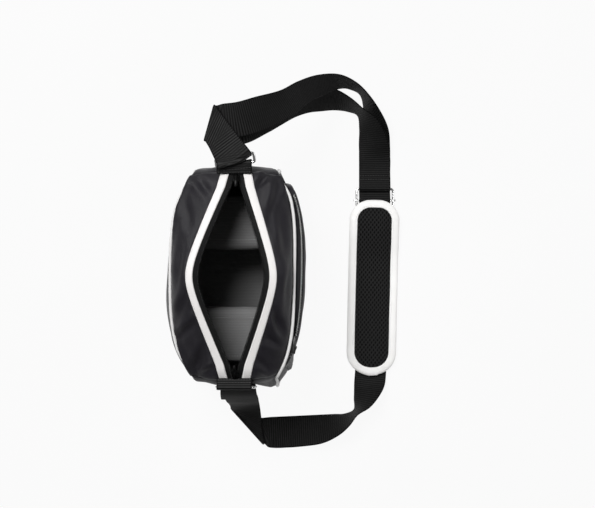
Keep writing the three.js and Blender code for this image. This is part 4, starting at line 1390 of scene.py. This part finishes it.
def tab_rows(side):
    """Rows of a tab from its root round the ring's bar and back, by reach along it and rise off it."""
    lean = math.radians(TAB_LEAN)
    slant = math.tan(math.radians(NORTH_RING_TURN)) if side > 0 else 0
    path = [(-TAB_ROOT, -0.95), (-5, -1.85)]
    path += [(TURN_RADIUS * math.cos(a), TURN_RADIUS * math.sin(a)) for a in np.linspace(-1.5, 1.5, 7)]
    path += [(-5, 1.85), (-TAB_ROOT, 0.95)]
    found = []
    for reach, rise in path:
        edges = []
        for y in (TAB_WIDTH / 2, -TAB_WIDTH / 2):
            along = reach - y * slant * smoothstep(reach, -TAB_ROOT, -WIRE_RADIUS - GAP)
            x = BAR_X + along * math.cos(lean) - rise * math.sin(lean)
            edges.append((side * x, y, BAR_Z + along * math.sin(lean) + rise * math.cos(lean)))
        found.append(np.array(edges))
    return found


def wire_ring(length, pitch, radius, corner):
    """Closed round wire about its first long bar, in X and Y."""
    half = length / 2
    places = [(0, -half), (pitch, -half), (pitch, half), (0, half)]
    arcs = corner_arcs([(x, y, corner) for x, y in places])
    x, y, nx, ny = upright(trace(arcs, 1, True))
    turn = full_turn(14)[None]
    out = radius * np.cos(turn)
    return loft(points(x + nx * out, y + ny * out, radius * np.sin(turn)), True)


def make_tabs_and_rings():
    wire = wire_ring(RING_INNER_LENGTH + 2 * WIRE_RADIUS, RING_PITCH, WIRE_RADIUS, RING_CORNER)
    for name, end, tilt, turn, aside in RINGS:
        laid = tab_rows(end)
        # The whole tab is painted paler as painted sheen.
        make_webbing(f"tab_webbing_{name}", laid, f"tab_{name}", painted_sheen=TAB_PAINTED_SHEEN)
        threads = []
        for share in TAB_STITCHES:
            left, right = lerp(laid[-2], laid[-1], share) + [0, 0, WEB_THICK / 2 + 0.1]
            threads += stitch_row(lerp(left, right, np.linspace(0.05, 0.95, 9)[:, None]))
        make(f"tab_stitches_{name}", joined(threads), BLACK_THREAD)
        tilted = turned(wire, (0, 0, 0), math.radians(TAB_LEAN - tilt))
        pulled = turned(tilted, (0, aside, 0), 0, math.radians(turn))
        leaning = turned(pulled, (0, 0, 0), -math.radians(TAB_LEAN))
        placed = turned(leaning, (end * BAR_X, 0, BAR_Z), 0, 0 if end > 0 else math.pi)
        make(f"ring_wire_{name}", placed, BRIGHT_METAL, [f"ring_{name}"])


def over_tab(middle, share):
    """Slack that lets the strap hang over the tab, but not at its right edge."""
    x, z = middle[..., 0], middle[..., 2]
    above = smoothstep(z - NORTH_BAR.z, *SLACK_ABOVE)
    near = 1 - smoothstep(x - NORTH_BAR.x, *SLACK_BEYOND)
    return points(-TAB_SLACK * above * near * smoothstep(share, *SLACK_ACROSS), 0, 0)


def make_straps():
    ring_rows = []
    for angle, slack in RING_TURN:
        left = turn_row(NORTH_BAR, TURN_RADIUS + slack, angle)[0]
        right = turn_row(NORTH_BAR, TURN_RADIUS, angle)[1]
        ring_rows.append(np.stack([left, right]))
    fold_rows = turn_rows(NORTH_FOLD, OUTER_FOLD, 90, -90, NORTH_PRESS)

    def span(share, drop=0):
        """A row on the straight from the ring to the fold, moved down."""
        return lerp(ring_rows[-1], fold_rows[0], share) - [0, 0, drop]

    long = [
        *rows(SOUTH_TAIL),
        *turn_rows(SOUTH_BAR, TURN_RADIUS, 225, -35),
        *rows(SOUTH_DROP),
        *turn_rows(SOUTH_FOLD, SOUTH_FOLD_RADIUS, 90, 270),
        *rows(SOUTH_FLOOR),
        *rows(BUCKLE_PASS),
        *rows(NORTH_OUTER),
        *turn_rows(NORTH_FOLD, INNER_FOLD, -90, 90, NORTH_PRESS),
        *[span(share, LAYER_STEP) for share in (0.75, 0.5, 0.25)],
    ]
    make_webbing("strap_webbing_long", long, "strap_long")
    back = [
        span(0.25, 2.5 * LAYER_STEP),
        *ring_rows,
        *[span(share) for share in (0.25, 0.5, 0.75)],
        *fold_rows,
        *rows(NORTH_INNER),
        *turn_rows(SEWN_BAR, BUCKLE_WIRE + GAP + WEB_THICK / 2, 90, 270),
        row(*SEWN_END),
    ]
    # The return strap's first stretch, round the north ring, is painted paler as painted sheen.
    make_webbing("strap_webbing_return", back, "strap_return", over_tab, RETURN_PAINTED_SHEEN)


def make_buckle():
    wire = wire_ring(2 * BUCKLE_HALF_WIDTH, BUCKLE_NORTH_X - BUCKLE_SOUTH_X, BUCKLE_WIRE, BUCKLE_CORNER)
    make("buckle_wire", turned(wire, (BUCKLE_SOUTH_X, STRAP_Y, BUCKLE_Z)), BRIGHT_METAL,
         ["buckle_frame"])
    end = SLIDE_BAR_LENGTH / 2
    aside = np.array([-end, 0.4 - end, 1 - end, -10, 10, end - 1, end - 0.4, end])
    line = points(SLIDE_BAR_X, STRAP_Y + aside, SLIDE_BAR_Z)
    radius = BUCKLE_WIRE * np.array([0.6, 0.85, 1, 1, 1, 1, 0.85, 0.6])
    make("buckle_pin", tube(line, radius, 14), BRIGHT_METAL, ["buckle_bar"])
    threads = []
    for x, z in SEWN_ROWS:
        threads += stitch_row(points(x, STRAP_Y + np.linspace(-18, 18, 9), z))
    make("sewn_stitches", joined(threads), BLACK_THREAD)


# Shoulder pad

def pad_lift(x):
    return PAD_NORTH_LIFT * smoothstep(x, 30, 90) + PAD_SOUTH_LIFT * smoothstep(-x, 70, 110)


def on_pad(x, y, rise):
    """Points on the pad, moved to where it lies."""
    turn = math.radians(PAD_TURN)
    z = PAD_LOW + pad_lift(x) + rise
    return points(PAD_X + x * math.cos(turn) - y * math.sin(turn),
                  PAD_Y + x * math.sin(turn) + y * math.cos(turn), z)


# The binding's section; columns: distance in from the pad's edge, rise
BINDING_SECTION = np.array([
    (0.6, 2.2),
    (0, 4),
    (0.6, 5.9),
    (3, 7.5),
    (8, 8.1),
    (BINDING_WIDTH - 0.6, 8),
    (BINDING_WIDTH, 7),
    (BINDING_WIDTH, 0.6),
    (3, 0.6),
    (0.6, 2.2),
])


def make_binding():
    """White bound edge with the lap of its ends at the south, and its stitches."""
    half, across = PAD_LENGTH / 2, PAD_WIDTH / 2
    arcs = corner_arcs([
        (-half, -across, PAD_SOUTH_CORNER),
        (half, -across, PAD_NORTH_CORNER),
        (half, across, PAD_NORTH_CORNER),
        (-half, across, PAD_SOUTH_CORNER),
    ])
    x, y, nx, ny = upright(trace(arcs, FINE_STEP, True))
    drawn = smooth_line(BINDING_SECTION, [3] * (len(BINDING_SECTION) - 1))[:-1]
    inset, rise = drawn[None, :, 0], drawn[None, :, 1]
    top = smoothstep(rise, 2, 6)
    creased = waved("binding_creases", x, y) * smoothstep(np.abs(x), half - 40, half - 20)
    uneven = waved("binding_sway", x, y) + creased
    lap = (x < -half + 20) * smoothstep(y, -9.5, -8.5) * (1 - smoothstep(y, 2, 16))
    inset = inset - top * (0.4 * uneven + 0.9 * lap * (inset < 6)) + 0.3
    rise = rise + top * (uneven * 0.6 + 0.8 * lap)
    px, py = x - nx * inset, y - ny * inset
    make("pad_roll", loft(on_pad(px, py, rise), True), WHITE_BINDING, ["pad_binding"])
    seam = BINDING_WIDTH - 2
    line = on_pad(x - nx * seam, y - ny * seam, 8.15)[:, 0]
    make("pad_stitches", joined(stitch_row(line)), WHITE_THREAD)


def make_pad():
    """Crowned pad of spacer mesh, dented at each hole."""
    edge_in = BINDING_WIDTH + 0.2
    reach = PAD_LENGTH / 2 - edge_in
    x = np.linspace(-reach, reach, PAD_ROWS)[:, None]
    width = PAD_WIDTH / 2 - edge_in
    corner = np.where(x < 0, PAD_SOUTH_CORNER, PAD_NORTH_CORNER) - edge_in
    past = np.clip(np.abs(x) - (reach - corner), 0, corner)
    side = width - corner + np.sqrt(np.maximum(corner ** 2 - past ** 2, 0.02))
    share = np.linspace(-1, 1, PAD_COLUMNS)[None]
    y = side * share
    edge = np.minimum(side * (1 - np.abs(share)), reach - np.abs(x) + 0 * share)
    crown = PAD_RIM + PAD_CROWN * (1 - np.exp(-edge / 6)) + waved("pad_crown", x, y)
    a, b = 2 * math.pi * x / MESH_ALONG, 2 * math.pi * y / MESH_ACROSS
    lattice = np.cos(a + b) + np.cos(a - b) + 0.5 * np.cos(2 * b)
    hole = smoothstep(lattice, -0.2, 1.5) * smoothstep(edge, 0.8, 2.5)
    solid = sheet(on_pad(x, y, crown - MESH_DENT * hole), on_pad(x, y, 0.1))
    body = make("pad_mesh", solid, PAD_MESH, ["pad_body"])
    # The hole mark also paints shade into the holes through the mesh's colour.
    mark(body, "hole", shell(hole, 0 * hole))


make_gusset()
make_faces()
make_top()
make_zip_sliders()
make_pocket_cloth()
make_pocket_zip()
make_lining()
make_dividers()
make_tabs_and_rings()
make_straps()
make_buckle()
make_binding()
make_pad()


# Floor, light and camera

FLOOR_HALF = 4
FLOOR_DROP = 0.0003
FLOOR_GLOW = 0.93
SKY_GLOW = 0.15

# Lamps in metres and watts; the spots light pieces that lie in the bag's half shadow
Lamp = namedtuple("Lamp", "name kind place aim watts settings")
SOFT_SPOT = {"spot_blend": 0.8, "shadow_soft_size": 0.12}
LAMPS = [
    Lamp("key", "AREA", (0.68, 0.42, 1.62), (0, 0, 0.1), 35, {"shape": "DISK", "size": 0.75}),
    Lamp("fill", "AREA", (0.1, -1.3, 0.6), (0, -0.17, 0), 3, {"shape": "DISK", "size": 0.6}),
    Lamp("pad_light", "SPOT", (-0.02, -0.6, 1.2), (-0.02, -0.19, 0), 14,
         {"spot_size": math.radians(15), **SOFT_SPOT}),
    Lamp("south_light", "SPOT", (-0.9, -0.1, 0.9), (-0.19, -0.02, 0), 50,
         {"spot_size": math.radians(9), **SOFT_SPOT}),
]


def make_floor():
    look = Look("floor", {"Roughness": 0.9, GLOSS: 0.1})
    look.fill(look.shader, {"Emission Color": (1, 1, 1, 1), "Emission Strength": FLOOR_GLOW})
    look.colour(look.noise(300), *greys(0.02, 0.03))
    mesh = bpy.data.meshes.new("floor")
    corners = [(-1, -1), (1, -1), (1, 1), (-1, 1)]
    mesh.from_pydata([(x * FLOOR_HALF, y * FLOOR_HALF, -FLOOR_DROP) for x, y in corners], [], [(0, 1, 2, 3)])
    mesh.materials.append(look.material)
    put_in_scene("floor", mesh)


def make_lamps():
    for lamp in LAMPS:
        light = bpy.data.lights.new(lamp.name, lamp.kind)
        light.energy = lamp.watts
        for key, value in lamp.settings.items():
            setattr(light, key, value)
        x, y, z = np.array(lamp.aim, float) - np.array(lamp.place, float)
        hung = put_in_scene(lamp.name, light)
        hung.location = lamp.place
        hung.rotation_euler = (math.atan2(math.hypot(x, y), -z), 0, math.atan2(y, x) - math.pi / 2)


def make_studio():
    world = bpy.data.worlds.new("studio")
    world.use_nodes = True
    sky = next(n for n in world.node_tree.nodes if n.type == "BACKGROUND")
    sky.inputs["Color"].default_value = (1, 1, 1, 1)
    sky.inputs["Strength"].default_value = SKY_GLOW
    bpy.context.scene.world = world
    make_lamps()

    view = bpy.data.cameras.new("photo_view")
    view.sensor_fit = "HORIZONTAL"
    view.angle = math.radians(CAMERA_ANGLE)
    camera = put_in_scene("photo_view", view)
    camera.location = CAMERA_PLACE
    camera.rotation_euler = (0, 0, -math.pi / 2)
    bpy.context.scene.camera = camera
    bpy.context.scene.view_settings.view_transform = "Standard"

make_floor()
make_studio()
